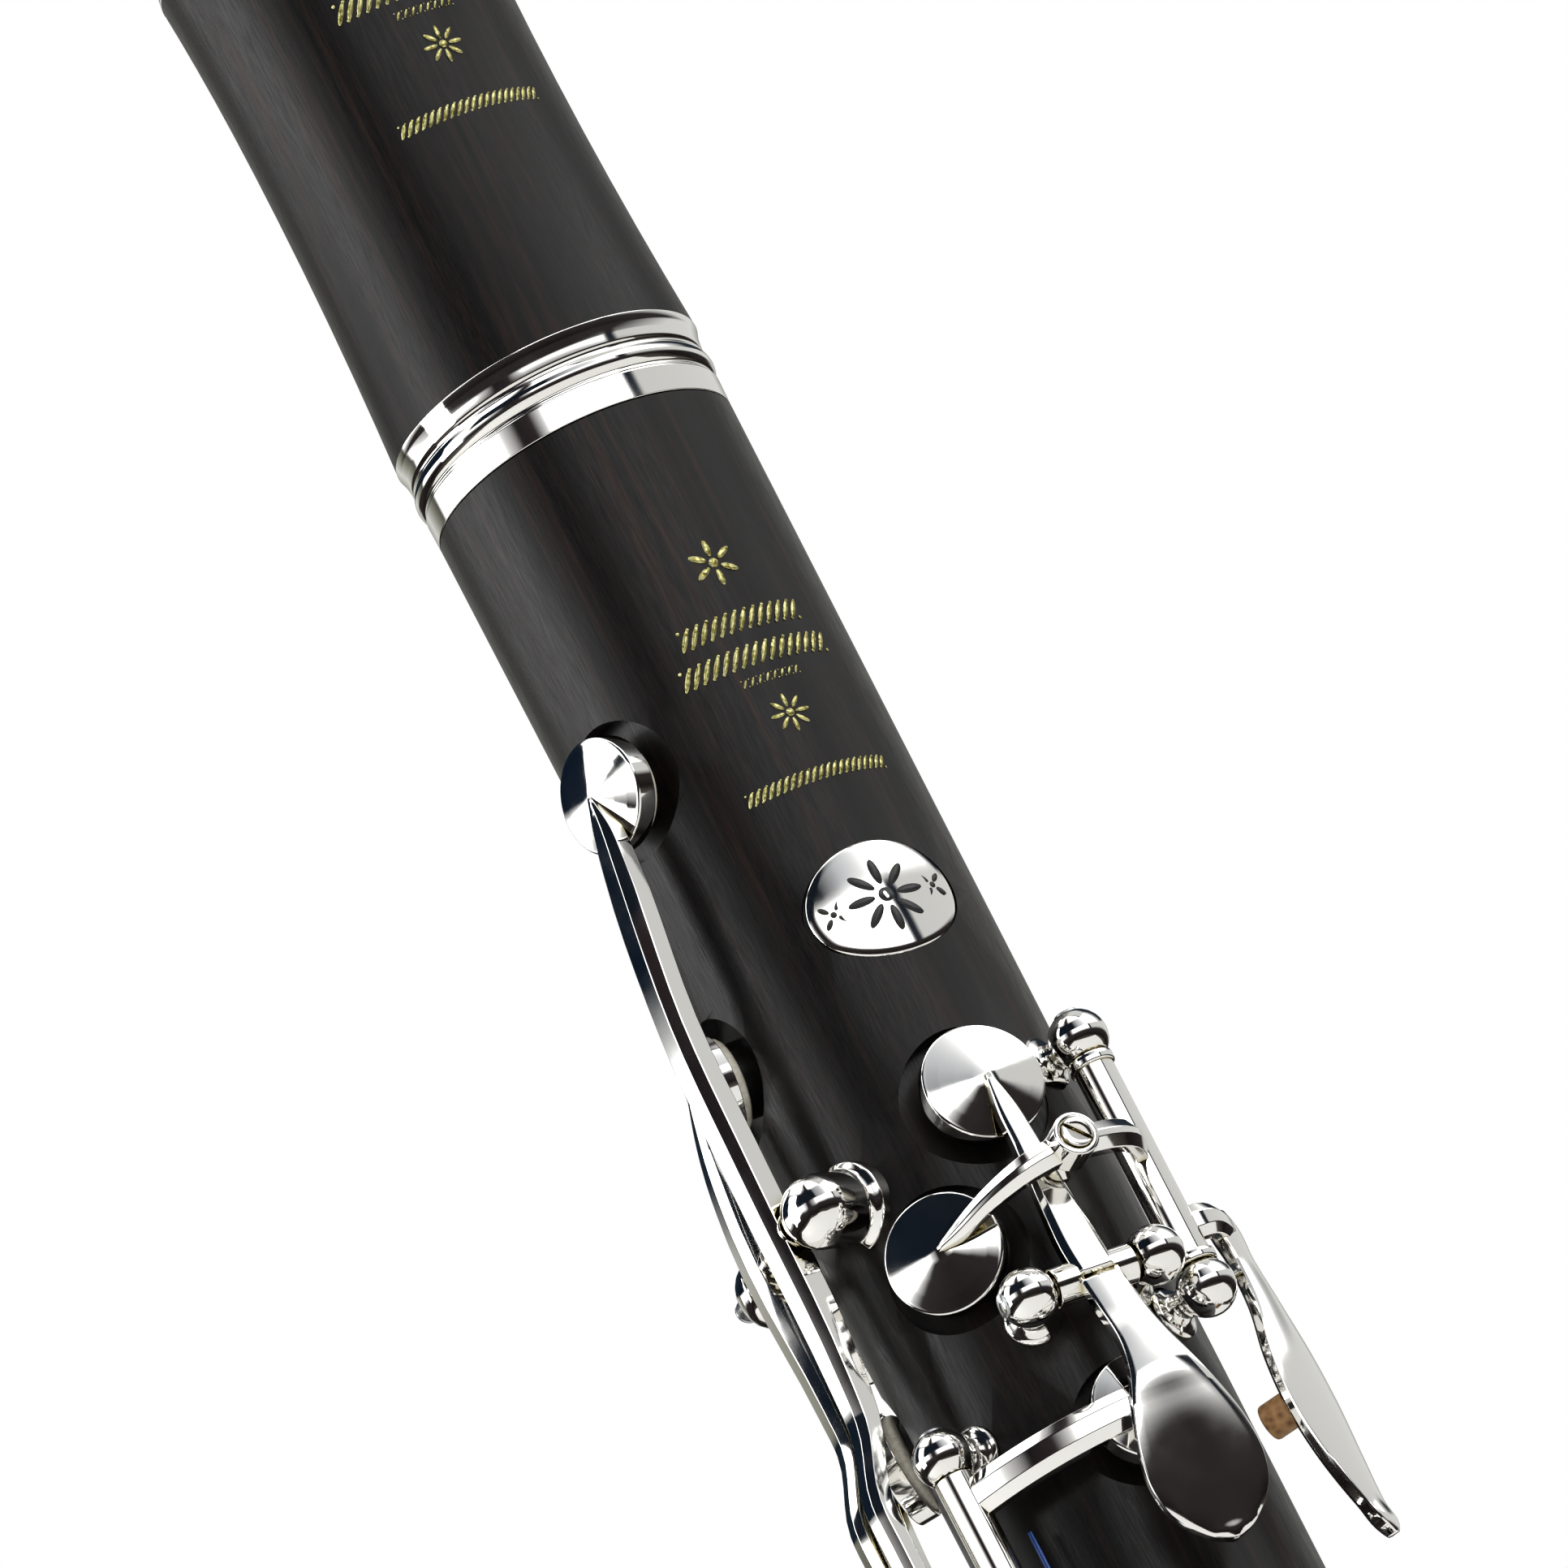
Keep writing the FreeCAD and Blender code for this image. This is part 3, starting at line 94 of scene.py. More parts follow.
def colour(code):
    """Linear colour for an sRGB hex value such as "d8cbb4"."""
    parts = [int(code[i:i + 2], 16) / 255 for i in (0, 2, 4)]
    return (*[c / 12.92 if c <= 0.04045 else ((c + 0.055) / 1.055) ** 2.4 for c in parts], 1.0)


def add_node(tree, kind, inputs=None, stops=(), to=None, **settings):
    """Adds a node, sets its properties, and links or fills its inputs. A colour ramp also gets its stops of
    (place, hex). Returns the node's first output in use, which can be linked to a socket."""
    node = tree.nodes.new(kind)
    for name, value in settings.items():
        setattr(node, name, value)
    for name, value in (inputs or {}).items():
        if isinstance(value, bpy.types.NodeSocket):
            tree.links.new(value, node.inputs[name])
        else:
            node.inputs[name].default_value = value
    if stops:
        elements = node.color_ramp.elements
        while len(elements) < len(stops):
            elements.new(1.0)
        for element, (place, code) in zip(elements, stops):
            element.position = place
            element.color = colour(code)
    out = next((o for o in node.outputs if o.enabled), None)
    if to is not None:
        tree.links.new(out, to)
    return out


world = bpy.data.worlds.new("studio")
bpy.context.scene.world = world
world.use_nodes = True
sky = world.node_tree
sky.nodes.clear()
way = add_node(sky, "ShaderNodeTexCoord")
parts = add_node(sky, "ShaderNodeSeparateXYZ", {"Vector": way}).node.outputs
minus_y = add_node(sky, "ShaderNodeMath", {0: parts["Y"], 1: -1.0}, operation="MULTIPLY")
turn = add_node(sky, "ShaderNodeMath", {0: parts["X"], 1: minus_y}, operation="ARCTAN2")
share = add_node(sky, "ShaderNodeMapRange", {"Value": turn, "From Min": -math.pi, "From Max": math.pi})
walls = add_node(sky, "ShaderNodeValToRGB", {"Fac": share}, [
    (0.00, "d4d4d0"), (0.05, "86867a"), (0.078, "4c4c46"), (0.088, "ffffff"), (0.30, "ffffff"),
    (0.33, "a8a6a6"), (0.345, "1c181a"), (0.38, "2c2426"), (0.41, "ffffff"), (0.583, "ffffff"),
    (0.59, "1e222c"), (0.604, "1e222c"), (0.612, "cfcfcd"), (0.85, "d6d6d4"), (0.92, "86867a"),
    (1.00, "d4d4d0")])
height = add_node(sky, "ShaderNodeMapRange", {"Value": parts["Z"], "From Min": -1.0, "From Max": 1.0})
floor_look = add_node(sky, "ShaderNodeValToRGB", {"Fac": height}, [
    (0.00, "b8b4ac"), (0.20, "6c6660"), (0.38, "14110f"), (0.49, "2a2626")])
ceiling_look = add_node(sky, "ShaderNodeValToRGB", {"Fac": share}, [
    (0.00, "1c2630"), (0.10, "0c1826"), (0.44, "10161e"), (0.50, "c4c6ca"), (0.60, "ffffff"),
    (0.72, "ffffff"), (0.80, "2a3038"), (1.00, "1c2630")])
is_wall = add_node(sky, "ShaderNodeValToRGB", {"Fac": height}, [(0.53, "000000"), (0.585, "ffffff")])
is_ceiling = add_node(sky, "ShaderNodeValToRGB", {"Fac": height}, [
    (0.685, "000000"), (0.705, "ffffff"), (0.90, "ffffff"), (0.93, "000000")])
low_part = add_node(sky, "ShaderNodeMix", {6: floor_look, 7: walls, "Factor": is_wall}, data_type="RGBA")
mirrored = add_node(sky, "ShaderNodeMix", {6: low_part, 7: ceiling_look, "Factor": is_ceiling},
                    data_type="RGBA")
rays = add_node(sky, "ShaderNodeLightPath").node.outputs
glow_power, glow_gain = 9.0, 2.2
peak = add_node(sky, "ShaderNodeMath", {0: mirrored, 1: glow_power}, operation="POWER")
glow = add_node(sky, "ShaderNodeMath", {0: peak, 1: glow_gain, 2: 1.0}, operation="MULTIPLY_ADD")
mirror_light = add_node(sky, "ShaderNodeBackground", {"Color": mirrored, "Strength": glow})
plain_light = add_node(sky, "ShaderNodeBackground", {"Color": colour("ffffff"), "Strength": 1.0})
no_mirror = add_node(sky, "ShaderNodeMath", {0: 1.0, 1: rays["Is Glossy Ray"]}, operation="SUBTRACT")
light = add_node(sky, "ShaderNodeMixShader", {0: no_mirror, 1: mirror_light, 2: plain_light})
add_node(sky, "ShaderNodeOutputWorld", {"Surface": light})

box_angle, box_rise, box_away, aim_height = -105, math.radians(25), 1.1, 0.45
key_light = bpy.data.lights.new("softbox", "AREA")
key_light.shape = "RECTANGLE"
key_light.size, key_light.size_y, key_light.energy = 0.5, 1.2, 5.0
softbox = bpy.data.objects.new("softbox", key_light)
box_back = radial(box_angle) * math.cos(box_rise) + UP * math.sin(box_rise)
softbox.rotation_euler = box_back.to_track_quat("Z", "Y").to_euler()
softbox.location = UP * aim_height + box_back * box_away
bpy.context.scene.collection.objects.link(softbox)


# ------------------------ floor
# The instrument stands on its bell on a plain pale board, painted in a matt off-white. The board, sized in
# metres, is small enough for the low camera to look past its edge.

def new_finish(name):
    """An empty material. Returns it, its tree, the place on the object, and the socket for its shader."""
    finish = bpy.data.materials.new(name)
    finish.use_nodes = True
    finish.node_tree.nodes.clear()
    place = finish.node_tree.nodes.new("ShaderNodeTexCoord").outputs["Object"]
    end = finish.node_tree.nodes.new("ShaderNodeOutputMaterial")
    return finish, finish.node_tree, place, end.inputs["Surface"]


paint, tree, _, surface = new_finish("matt_board_paint")
add_node(tree, "ShaderNodeBsdfPrincipled", {
    "Base Color": colour("e8e7e4"), "Roughness": 0.7}, to=surface)
board_half = 1.0
bm = bmesh.new()
bmesh.ops.create_grid(bm, x_segments=1, y_segments=1, size=board_half)
board = bpy.data.meshes.new("floor")
bm.to_mesh(board)
bm.free()
board.materials.append(paint)
floor = bpy.data.objects.new("floor", board)
bpy.context.scene.collection.objects.link(floor)


# ------------------------ grenadilla
# The bell, both joints and the barrel are turned from African blackwood, soaked in oil and buffed to a satin
# sheen. It gives the eye near black with fine brown streaks along the bore and short dark pores.

def streaks(across, along):
    """The scale of streaks that run along the bore, from their width and length in millimetres."""
    return 1000 / across, 1000 / across, 1000 / along


def dress(finish, *names):
    """Gives a finish to parts that keep their own shape."""
    for name in names:
        nodes[name].data.materials.clear()
        nodes[name].data.materials.append(finish)


wood, tree, place, surface = new_finish("oiled_grenadilla")
grain_place = add_node(tree, "ShaderNodeMapping", {"Vector": place, "Scale": streaks(0.9, 28)})
grain = add_node(tree, "ShaderNodeTexNoise", {
    "Vector": grain_place, "Scale": 1.0, "Detail": 4.0, "Roughness": 0.6})
patch_place = add_node(tree, "ShaderNodeMapping", {"Vector": place, "Scale": streaks(9, 90)})
patch = add_node(tree, "ShaderNodeTexNoise", {"Vector": patch_place, "Scale": 1.0, "Detail": 2.0})
pore_place = add_node(tree, "ShaderNodeMapping", {"Vector": place, "Scale": streaks(0.16, 2.6)})
pores = add_node(tree, "ShaderNodeTexNoise", {"Vector": pore_place, "Scale": 1.0, "Detail": 2.0})
streak = add_node(tree, "ShaderNodeValToRGB", {"Fac": grain}, [
    (0.36, "0b0909"), (0.52, "130f0e"), (0.64, "211612"), (0.76, "2e1d15")])
plain = add_node(tree, "ShaderNodeValToRGB", {"Fac": grain}, [
    (0.36, "0a0909"), (0.60, "100d0c"), (0.78, "1a1412")])
share = add_node(tree, "ShaderNodeValToRGB", {"Fac": patch}, [(0.38, "000000"), (0.62, "ffffff")])
tone = add_node(tree, "ShaderNodeMix", {6: plain, 7: streak, "Factor": share}, data_type="RGBA")
gloss = add_node(tree, "ShaderNodeMapRange", {"Value": pores, "From Min": 0.35, "From Max": 0.75,
                                              "To Min": 0.30, "To Max": 0.46})
relief = add_node(tree, "ShaderNodeBump", {"Height": pores, "Strength": 0.25, "Distance": 0.00004})
add_node(tree, "ShaderNodeBsdfPrincipled", {
    "Base Color": tone, "Roughness": gloss, "IOR": 1.5, "Specular IOR Level": 0.22,
    "Normal": relief}, to=surface)
dress(wood, "bell_body", "lower_joint_body", "upper_joint_body", "barrel_body")


# ------------------------ bell rings
# A silver-plated collar is pressed on the bell's socket, and a heavier rim ring is what the instrument stands
# on. Both are turned from nickel silver, plated and polished to a mirror.

silver, tree, place, surface = new_finish("polished_silver_plate")
corner_reach, handled_size = 1.6, 4.0
hollow = add_node(tree, "ShaderNodeAmbientOcclusion", {"Distance": corner_reach * MM}, samples=6)
tarnish = add_node(tree, "ShaderNodeValToRGB", {"Fac": hollow.node.outputs["AO"]}, [
    (0.20, "8c7c48"), (0.50, "cfc8a8"), (0.78, "f2f1ee")])
handling = add_node(tree, "ShaderNodeTexNoise", {
    "Vector": place, "Scale": 1000 / handled_size, "Detail": 5.0})
polish = add_node(tree, "ShaderNodeMapRange", {"Value": handling, "From Min": 0.35, "From Max": 0.75,
                                               "To Min": 0.035, "To Max": 0.10})
add_node(tree, "ShaderNodeBsdfPrincipled", {
    "Base Color": tarnish, "Metallic": 1.0, "Roughness": polish}, to=surface)
one_place = 1e-4


def soften(points, radius, closed=True):
    """Rounds the corners of an outline. The ends of an open outline stay as they are."""
    made = []
    for i, point in enumerate(points):
        here, before, after = Vector(point), Vector(points[i - 1]), Vector(points[(i + 1) % len(points)])
        if radius == 0 or (not closed and i in (0, len(points) - 1)):
            made.append(here)
            continue
        start, end = (here + (other - here) * min(radius / max((other - here).length, 1e-6), 0.4)
                      for other in (before, after))
        made += [start, (start + end) / 4 + here / 2, end]
    return made


def lathe(outline, base=Vector(), way=UP, radius=0.12, closed=False, steps=48):
    """Turns an outline of (radius, height) about the line from base along way, with softened corners."""
    bm = bmesh.new()
    verts = [bm.verts.new((r, 0, h)) for r, h in soften(outline, radius, closed)]
    pairs = list(zip(verts, verts[1:])) + ([(verts[-1], verts[0])] if closed else [])
    edges = [bm.edges.new(pair) for pair in pairs]
    bmesh.ops.spin(bm, geom=verts + edges, cent=(0, 0, 0), axis=UP, angle=2 * math.pi, steps=steps,
                   use_merge=True)
    bmesh.ops.remove_doubles(bm, verts=bm.verts, dist=one_place)
    turn = UP.rotation_difference(way).to_matrix().to_4x4()
    bmesh.ops.transform(bm, matrix=Matrix.Translation(base) @ turn, verts=bm.verts)
    return bm


def make_piece(name, shapes, body, finish, stands_for=(), swing=Matrix()):
    """Joins closed shapes, in millimetres, into one piece that rides on a body."""
    whole = bmesh.new()
    for shape in shapes:
        bmesh.ops.recalc_face_normals(shape, faces=shape.faces)
        mesh = bpy.data.meshes.new("shape")
        shape.to_mesh(mesh)
        shape.free()
        whole.from_mesh(mesh)
        bpy.data.meshes.remove(mesh)
    bmesh.ops.transform(whole, matrix=Matrix.Scale(MM, 4) @ swing, verts=whole.verts)
    mesh = bpy.data.meshes.new(name)
    whole.to_mesh(mesh)
    whole.free()
    mesh.materials.append(finish)
    mesh.shade_smooth()
    piece = bpy.data.objects.new(name, mesh)
    bpy.context.scene.collection.objects.link(piece)
    piece.modifiers.new("flat_faces", "WEIGHTED_NORMAL")
    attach(piece, body)
    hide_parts(*stands_for)
    return piece


collar = [(16.2, 97.0), (17.0, 97.0), (17.35, 97.9), (17.15, 98.7), (17.15, 99.3), (17.4, 99.8),
          (17.4, 102.2), (17.15, 102.7), (17.15, 103.3), (17.35, 103.9), (17.0, 104.85), (16.2, 104.85)]
rim = [(38.4, 0.0), (39.1, 0.0), (39.5, 0.5), (39.5, 3.2), (39.1, 3.6), (39.1, 4.2), (39.4, 4.6), (39.1, 7.0),
       (38.4, 7.0)]
turned_rings = [lathe(collar, closed=True, steps=96), lathe(rim, closed=True, steps=160)]
make_piece("bell_rings_turned", turned_rings, "body", silver, ["bell_rings"])


# ------------------------ socket ring
# The ring round the lower joint's socket is the same work as the bell's collar, with a bead at each edge.

socket_ring = [(15.6, 328.0), (16.3, 328.0), (16.6, 328.4), (16.6, 329.2), (16.3, 329.6), (16.2, 330.0),
               (16.35, 333.0), (16.2, 336.0), (16.3, 336.4), (16.6, 336.8), (16.6, 337.6), (16.3, 338.0),
               (15.6, 338.0)]
make_piece("socket_ring_turned", [lathe(socket_ring, closed=True, steps=96)], "body", silver,
           ["socket_ring"])


# ------------------------ tenon corks
# Strips of sheet cork are glued round the tenons and greased: a warm tan with darker grains.

cork, tree, place, surface = new_finish("greased_sheet_cork")
grain_size = 0.8
cells = add_node(tree, "ShaderNodeTexVoronoi", {"Vector": place, "Scale": 1000 / grain_size})
tone = add_node(tree, "ShaderNodeValToRGB", {"Fac": cells}, [
    (0.0, "6e4c2c"), (0.5, "a87c4e"), (1.0, "c29a68")])
add_node(tree, "ShaderNodeBsdfPrincipled", {"Base Color": tone, "Roughness": 0.6}, to=surface)
dress(cork, "tenon_corks", "mouthpiece_cork")


# ------------------------ medallion
# An oval plate of plated nickel silver, a little domed, is let into the front above the throat keys. In place
# of any name it has engraved flowers, one large and two small, their cuts filled with black wax.

def wood_radius(z):
    """Radius of the turned wood under the key work."""
    if z >= 338:
        return 14.5 - 0.8 * (533 - z) / 195
    return 14.3 + 1.1 * (338 - z) / 233


def wrap(bm, angle, z, skin):
    """Lays a flat shape, drawn as x across and y up, round the wood at an angle and height. Its own z is its
    height over the surface of radius skin."""
    for vert in bm.verts:
        across, up, proud = vert.co
        vert.co = spot(angle + math.degrees(across / skin), skin + proud, z + up)
    return bm


film_thick, film_lift = 0.03, 0.01


def film(wide, high, lift, steps):
    """A thin oval film with half sizes wide and high, lifted off the surface."""
    turns = [2 * math.pi * i / steps for i in range(steps)]
    bm = bmesh.new()
    face = bm.faces.new([bm.verts.new((wide * math.cos(t), high * math.sin(t), lift)) for t in turns])
    made = bmesh.ops.extrude_face_region(bm, geom=[face])["geom"]
    upper = [v for v in made if isinstance(v, bmesh.types.BMVert)]
    bmesh.ops.translate(bm, vec=(0, 0, film_thick), verts=upper)
    bmesh.ops.triangulate(bm, faces=[f for f in bm.faces if len(f.verts) > 4])
    return bm


medal_z, medal_wide, medal_high = 480.2, 7.5, 5.7
face_line = [(0.0, -0.3), (medal_wide, -0.3), (medal_wide, 0.02), (7.3, 0.13), (6.6, 0.2), (5.5, 0.27),
             (4.4, 0.33), (3.3, 0.37), (2.2, 0.4), (1.1, 0.42), (0.0, 0.42)]
medal = lathe(face_line, radius=0, steps=96)
bmesh.ops.scale(medal, vec=(1, medal_high / medal_wide, 1), verts=medal.verts)
make_piece("medallion_engraved", [wrap(medal, 0, medal_z, wood_radius(medal_z))], "body", silver,
           ["medallion"])

blacking, tree, _, surface = new_finish("engravers_black_wax")
add_node(tree, "ShaderNodeBsdfPrincipled", {
    "Base Color": colour("17181a"), "Roughness": 0.5}, to=surface)


def flower(petals, reach, fat, lift=film_lift, turned=90):
    """Petals round a centre, and the centre's own dot."""
    shapes = [film(0.2 * reach, 0.2 * reach, lift, 16)]
    for i in range(petals):
        petal = film(reach * 0.36, fat, lift, 16)
        bmesh.ops.translate(petal, vec=(reach * 0.66, 0, 0), verts=petal.verts)
        turn = Matrix.Rotation(math.radians(turned + 360 * i / petals), 3, "Z")
        bmesh.ops.rotate(petal, matrix=turn, verts=petal.verts)
        shapes.append(petal)
    return shapes


engraved = flower(8, 3.6, 0.42, 0.4)
for x in (-5.1, 5.1):
    for shape in flower(4, 1.5, 0.24, 0.29, 45):
        bmesh.ops.translate(shape, vec=(x, 0, 0), verts=shape.verts)
        engraved.append(shape)
make_piece("medallion_flowers", [wrap(shape, 0, medal_z, wood_radius(medal_z)) for shape in engraved], "body",
           blacking)


# ------------------------ gold stamps
# The front of the upper joint and of the barrel carry a stamp pressed through gold leaf. It is a plain
# ornament here: a rosette, rows of slender leaves and a small flower, a little worn.

leaf_gold, tree, place, surface = new_finish("stamped_gold_leaf")
worn_size = 0.35
wear = add_node(tree, "ShaderNodeTexNoise", {"Vector": place, "Scale": 1000 / worn_size, "Detail": 3.0})
tone = add_node(tree, "ShaderNodeValToRGB", {"Fac": wear}, [
    (0.30, "4a4624"), (0.42, "a39a52"), (0.60, "dcd898")])
gloss = add_node(tree, "ShaderNodeMapRange", {"Value": wear, "To Min": 0.5, "To Max": 0.28})
add_node(tree, "ShaderNodeBsdfPrincipled", {
    "Base Color": tone, "Metallic": 0.85, "Roughness": gloss}, to=surface)


def leaves(length, high, pitch):
    """A row of slender leaves that all lean one way, like a rope, with small dots between them."""
    shapes = []
    count = round(length / pitch)
    turn = Matrix.Rotation(math.radians(58), 3, "Z")
    for i in range(count):
        x = (i - (count - 1) / 2) * pitch
        blade = film(high * 0.5, min(high * 0.13, 0.24), film_lift, 14)
        bmesh.ops.rotate(blade, matrix=turn, verts=blade.verts)
        bmesh.ops.translate(blade, vec=(x, 0, 0), verts=blade.verts)
        shapes.append(blade)
        for side in (1, -1):
            dot = film(high * 0.07, high * 0.07, film_lift, 10)
            bmesh.ops.translate(dot, vec=(x - side * pitch * 0.36, side * high * 0.4, 0), verts=dot.verts)
            shapes.append(dot)
    return shapes


def stamp(name, body, foot, skin_at):
    """The whole ornament, from its lowest row at the height of foot, on wood with a radius of skin_at(z)."""
    rows = [(0.0, leaves(15.0, 1.5, 0.7)), (6.4, flower(8, 1.9, 0.2)), (10.3, leaves(6.0, 0.9, 0.75)),
            (12.8, leaves(15.0, 2.3, 0.95)), (16.3, leaves(12.4, 2.3, 0.95)), (22.3, flower(6, 2.3, 0.3))]
    shapes = [wrap(shape, 0, foot + rise, skin_at(foot + rise)) for rise, row in rows for shape in row]
    make_piece(name, shapes, body, leaf_gold)


stamp("stamp_upper_joint", "body", 493.4, wood_radius)


# ------------------------ barrel
# The barrel is one waisted turning of the same wood, with a plated ring pressed on at each end so that the
# socket doesn't split. The lower ring has a bead between two grooves and flares to meet the wood.

low, high = 533.15, 599.0
ring_low = [(13.3, low), (14.5, low), (14.56, low + 2.7), (14.34, low + 2.95), (14.3, low + 3.25),
            (14.5, low + 3.45), (14.74, low + 3.9), (14.8, low + 4.3), (14.74, low + 4.7), (14.5, low + 5.15),
            (14.3, low + 5.35), (14.34, low + 5.65), (14.5, low + 5.9), (14.56, low + 6.7), (14.7, low + 7.5),
            (14.95, low + 8.25), (13.3, low + 8.25)]
ring_high = [(13.3, high - 8), (14.6, high - 8), (14.5, high - 7.2), (14.35, high - 6.2), (14.35, high - 5.0),
             (14.6, high - 4.6), (14.6, high - 0.3), (14.3, high), (13.3, high)]
turned_rings = [lathe(ring_low, closed=True, radius=0.1, steps=160),
                lathe(ring_high, closed=True, radius=0.15, steps=160)]
make_piece("barrel_rings_turned", turned_rings, "barrel", silver, ["barrel_rings"])
waist_radius = 14.0
stamp("stamp_barrel", "barrel", 565.2, lambda z: waist_radius)


# ------------------------ posts and rods
# All hinges but the trill keys' run between ball posts, turned in one piece with neck and foot, screwed in
# and plated. The balls are milled flat beside the tube. A steel rod with a slotted head runs through.

post_shapes = {"upper": [], "lower": []}
rod_shapes = []
ball, neck, neck_room, flat_side, play = 2.75, 1.5, 1.7, 2.1, 0.06
rod_radius, tube_bore, tube_radius = 0.95, 1.0, 1.85
slot_wide, slot_deep = 0.4, 0.35


def mill(bm, point, way):
    """Cuts away what lies beyond a plane and closes the cut."""
    made = bmesh.ops.bisect_plane(bm, geom=bm.verts[:] + bm.edges[:] + bm.faces[:], plane_co=point,
                                  plane_no=way, clear_outer=True)
    rim = [e for e in made["geom_cut"] if isinstance(e, bmesh.types.BMEdge)]
    bmesh.ops.edgeloop_fill(bm, edges=rim)


def disc(radius, low, high, base, way, soft=0, steps=32):
    """A solid round between two heights over base."""
    return lathe([(0, low), (radius, low), (radius, high), (0, high)], base, way, soft, steps=steps)


def slotted(radius, length, base, way):
    """A screw head with its slot: a disc with two half discs on it."""
    shapes = [disc(radius, 0, length - slot_deep, base, way)]
    side = way.orthogonal().normalized()
    for sign in (1, -1):
        half = disc(radius, length - slot_deep, length, base, way, 0.06)
        mill(half, base + side * slot_wide / 2 * sign, side * -sign)
        shapes.append(half)
    return shapes


def post(where, centre, way, both_sides=False):
    """A ball post with its ball's centre on the hinge's line."""
    angle = math.degrees(math.atan2(centre.x, -centre.y))
    top = wood_radius(centre.z)
    reach = math.hypot(centre.x, centre.y) - top
    start = math.asin(neck / ball)
    turns = [start + (math.pi - start) * i / 14 for i in range(15)]
    outline = [(0, -2.0), (neck, -2.0), (neck, -0.3), (2.7, -0.3), (2.7, 0.25), (2.3, 0.45), (1.7, 0.6),
               (neck, 0.95), (neck - 0.1, max(reach - 2.9, 1.0))]
    outline += [(ball * math.sin(t), reach - ball * math.cos(t)) for t in turns[:-1]] + [(0, reach + ball)]
    shape = lathe(outline, spot(angle, top, centre.z), radial(angle), 0, steps=40)
    for side in ((way, -way) if both_sides else (way,)):
        mill(shape, centre + side * flat_side, side)
    post_shapes[where].append(shape)


def rod(first, last):
    """The steel rod of a hinge, with its slotted head in the first ball."""
    way = (last - first).normalized()
    length = (last - first).length
    rod_shapes.append(disc(rod_radius, 0, length, first, way, steps=24))
    rod_shapes.extend(slotted(1.15, 2.65, first, -way))


def long_hinge(where, angle, out, z_low, z_high, middle=()):
    """A hinge along the bore. Returns the heights between which its tube fits."""
    first, last = spot(angle, out, z_low), spot(angle, out, z_high)
    post(where, first, UP)
    post(where, last, -UP)
    for z in middle:
        post(where, spot(angle, out, z), UP, both_sides=True)
    rod(last, first)
    return z_low + flat_side + play, z_high - flat_side - play


def cross_hinge(where, angle, out, z, half, kind=post):
    """A hinge across the bore. Returns the ends of the tube that fits between its posts."""
    first, last = spot(angle, out, z, -half), spot(angle, out, z, half)
    kind(where, first, around(angle))
    kind(where, last, -around(angle))
    rod(first, last)
    stop = min(half - flat_side, half * (out - tube_radius) / out - neck_room) - play
    return -stop, stop


# ------------------------ pads
# Each pad is a felt disc in two layers of thin skin, shellacked into its cup: matt ivory with a faint
# crinkle in the drawn skin.

skin, tree, place, surface = new_finish("fish_skin_over_felt")
crinkle_size, crinkle_deep, seat_deep = 0.5, 0.05, 0.35
crinkle = add_node(tree, "ShaderNodeTexNoise", {"Vector": place, "Scale": 1000 / crinkle_size, "Detail": 4.0})
tone = add_node(tree, "ShaderNodeValToRGB", {"Fac": crinkle}, [(0.3, "cfc6ae"), (0.6, "ece7da")])
relief = add_node(tree, "ShaderNodeBump", {"Height": crinkle, "Strength": 0.4, "Distance": crinkle_deep * MM})
add_node(tree, "ShaderNodeBsdfPrincipled", {
    "Base Color": tone, "Roughness": 0.42, "Normal": relief}, to=surface)


def seat_at(z):
    """How far out of the bore's axis a pad's seat is."""
    return wood_radius(z) - seat_deep


def pad_disc(angle, z, radius):
    """A pad that bulges a little below its cup."""
    r, deep = radius - 0.5, 2.42
    outline = [(0, 0.02), (r - 0.9, 0.02), (r - 0.35, 0.08), (r - 0.08, 0.35), (r, 0.7), (r, deep - 0.1),
               (r - 0.1, deep), (0, deep)]
    return lathe(outline, spot(angle, seat_at(z), z), radial(angle), 0, steps=64)


# ------------------------ key work
# Keys are forged in nickel silver, filed, silver-soldered from cup, arm, tube and touch, plated and polished.
# These functions draw the shapes that every key shares.

cup_lift = 1.0
ring_lift, ring_middle, ring_edge = 1.6, 2.4, 6.6


def cup(angle, z, radius):
    """A pad cup: upright side, crisp softened edge and a low cone that rises to where the arm is soldered."""
    wall, thin, crown = 1.9, 0.45, 1.35
    rise = [(radius * share, wall + crown * (1 - share) ** 0.92) for share in (0.25, 0.5, 0.75, 0.94)]
    outline = [(0, wall - thin), (radius - thin, wall - thin), (radius - thin, 0), (radius, 0),
               (radius, wall - 0.05), (radius - 0.12, wall + 0.06)] + rise[::-1] + [(0, wall + crown)]
    return lathe(outline, spot(angle, seat_at(z) + cup_lift, z), radial(angle), 0.1, steps=72)


def sleeve(inner, outer, low, high, base, way, soft=0.15, steps=48):
    """A hollow round between two heights over base."""
    outline = [(inner, low), (outer, low), (outer, high), (inner, high)]
    return lathe(outline, base, way, soft, closed=True, steps=steps)


def tube(angle, out, z_low, z_high):
    """A hinge tube along the bore."""
    return sleeve(tube_bore, tube_radius, 0, z_high - z_low, spot(angle, out, z_low), UP)


def cross_tube(angle, out, z, low, high):
    """A hinge tube across the bore."""
    return sleeve(tube_bore, tube_radius, 0, high - low, spot(angle, out, z, low), around(angle))


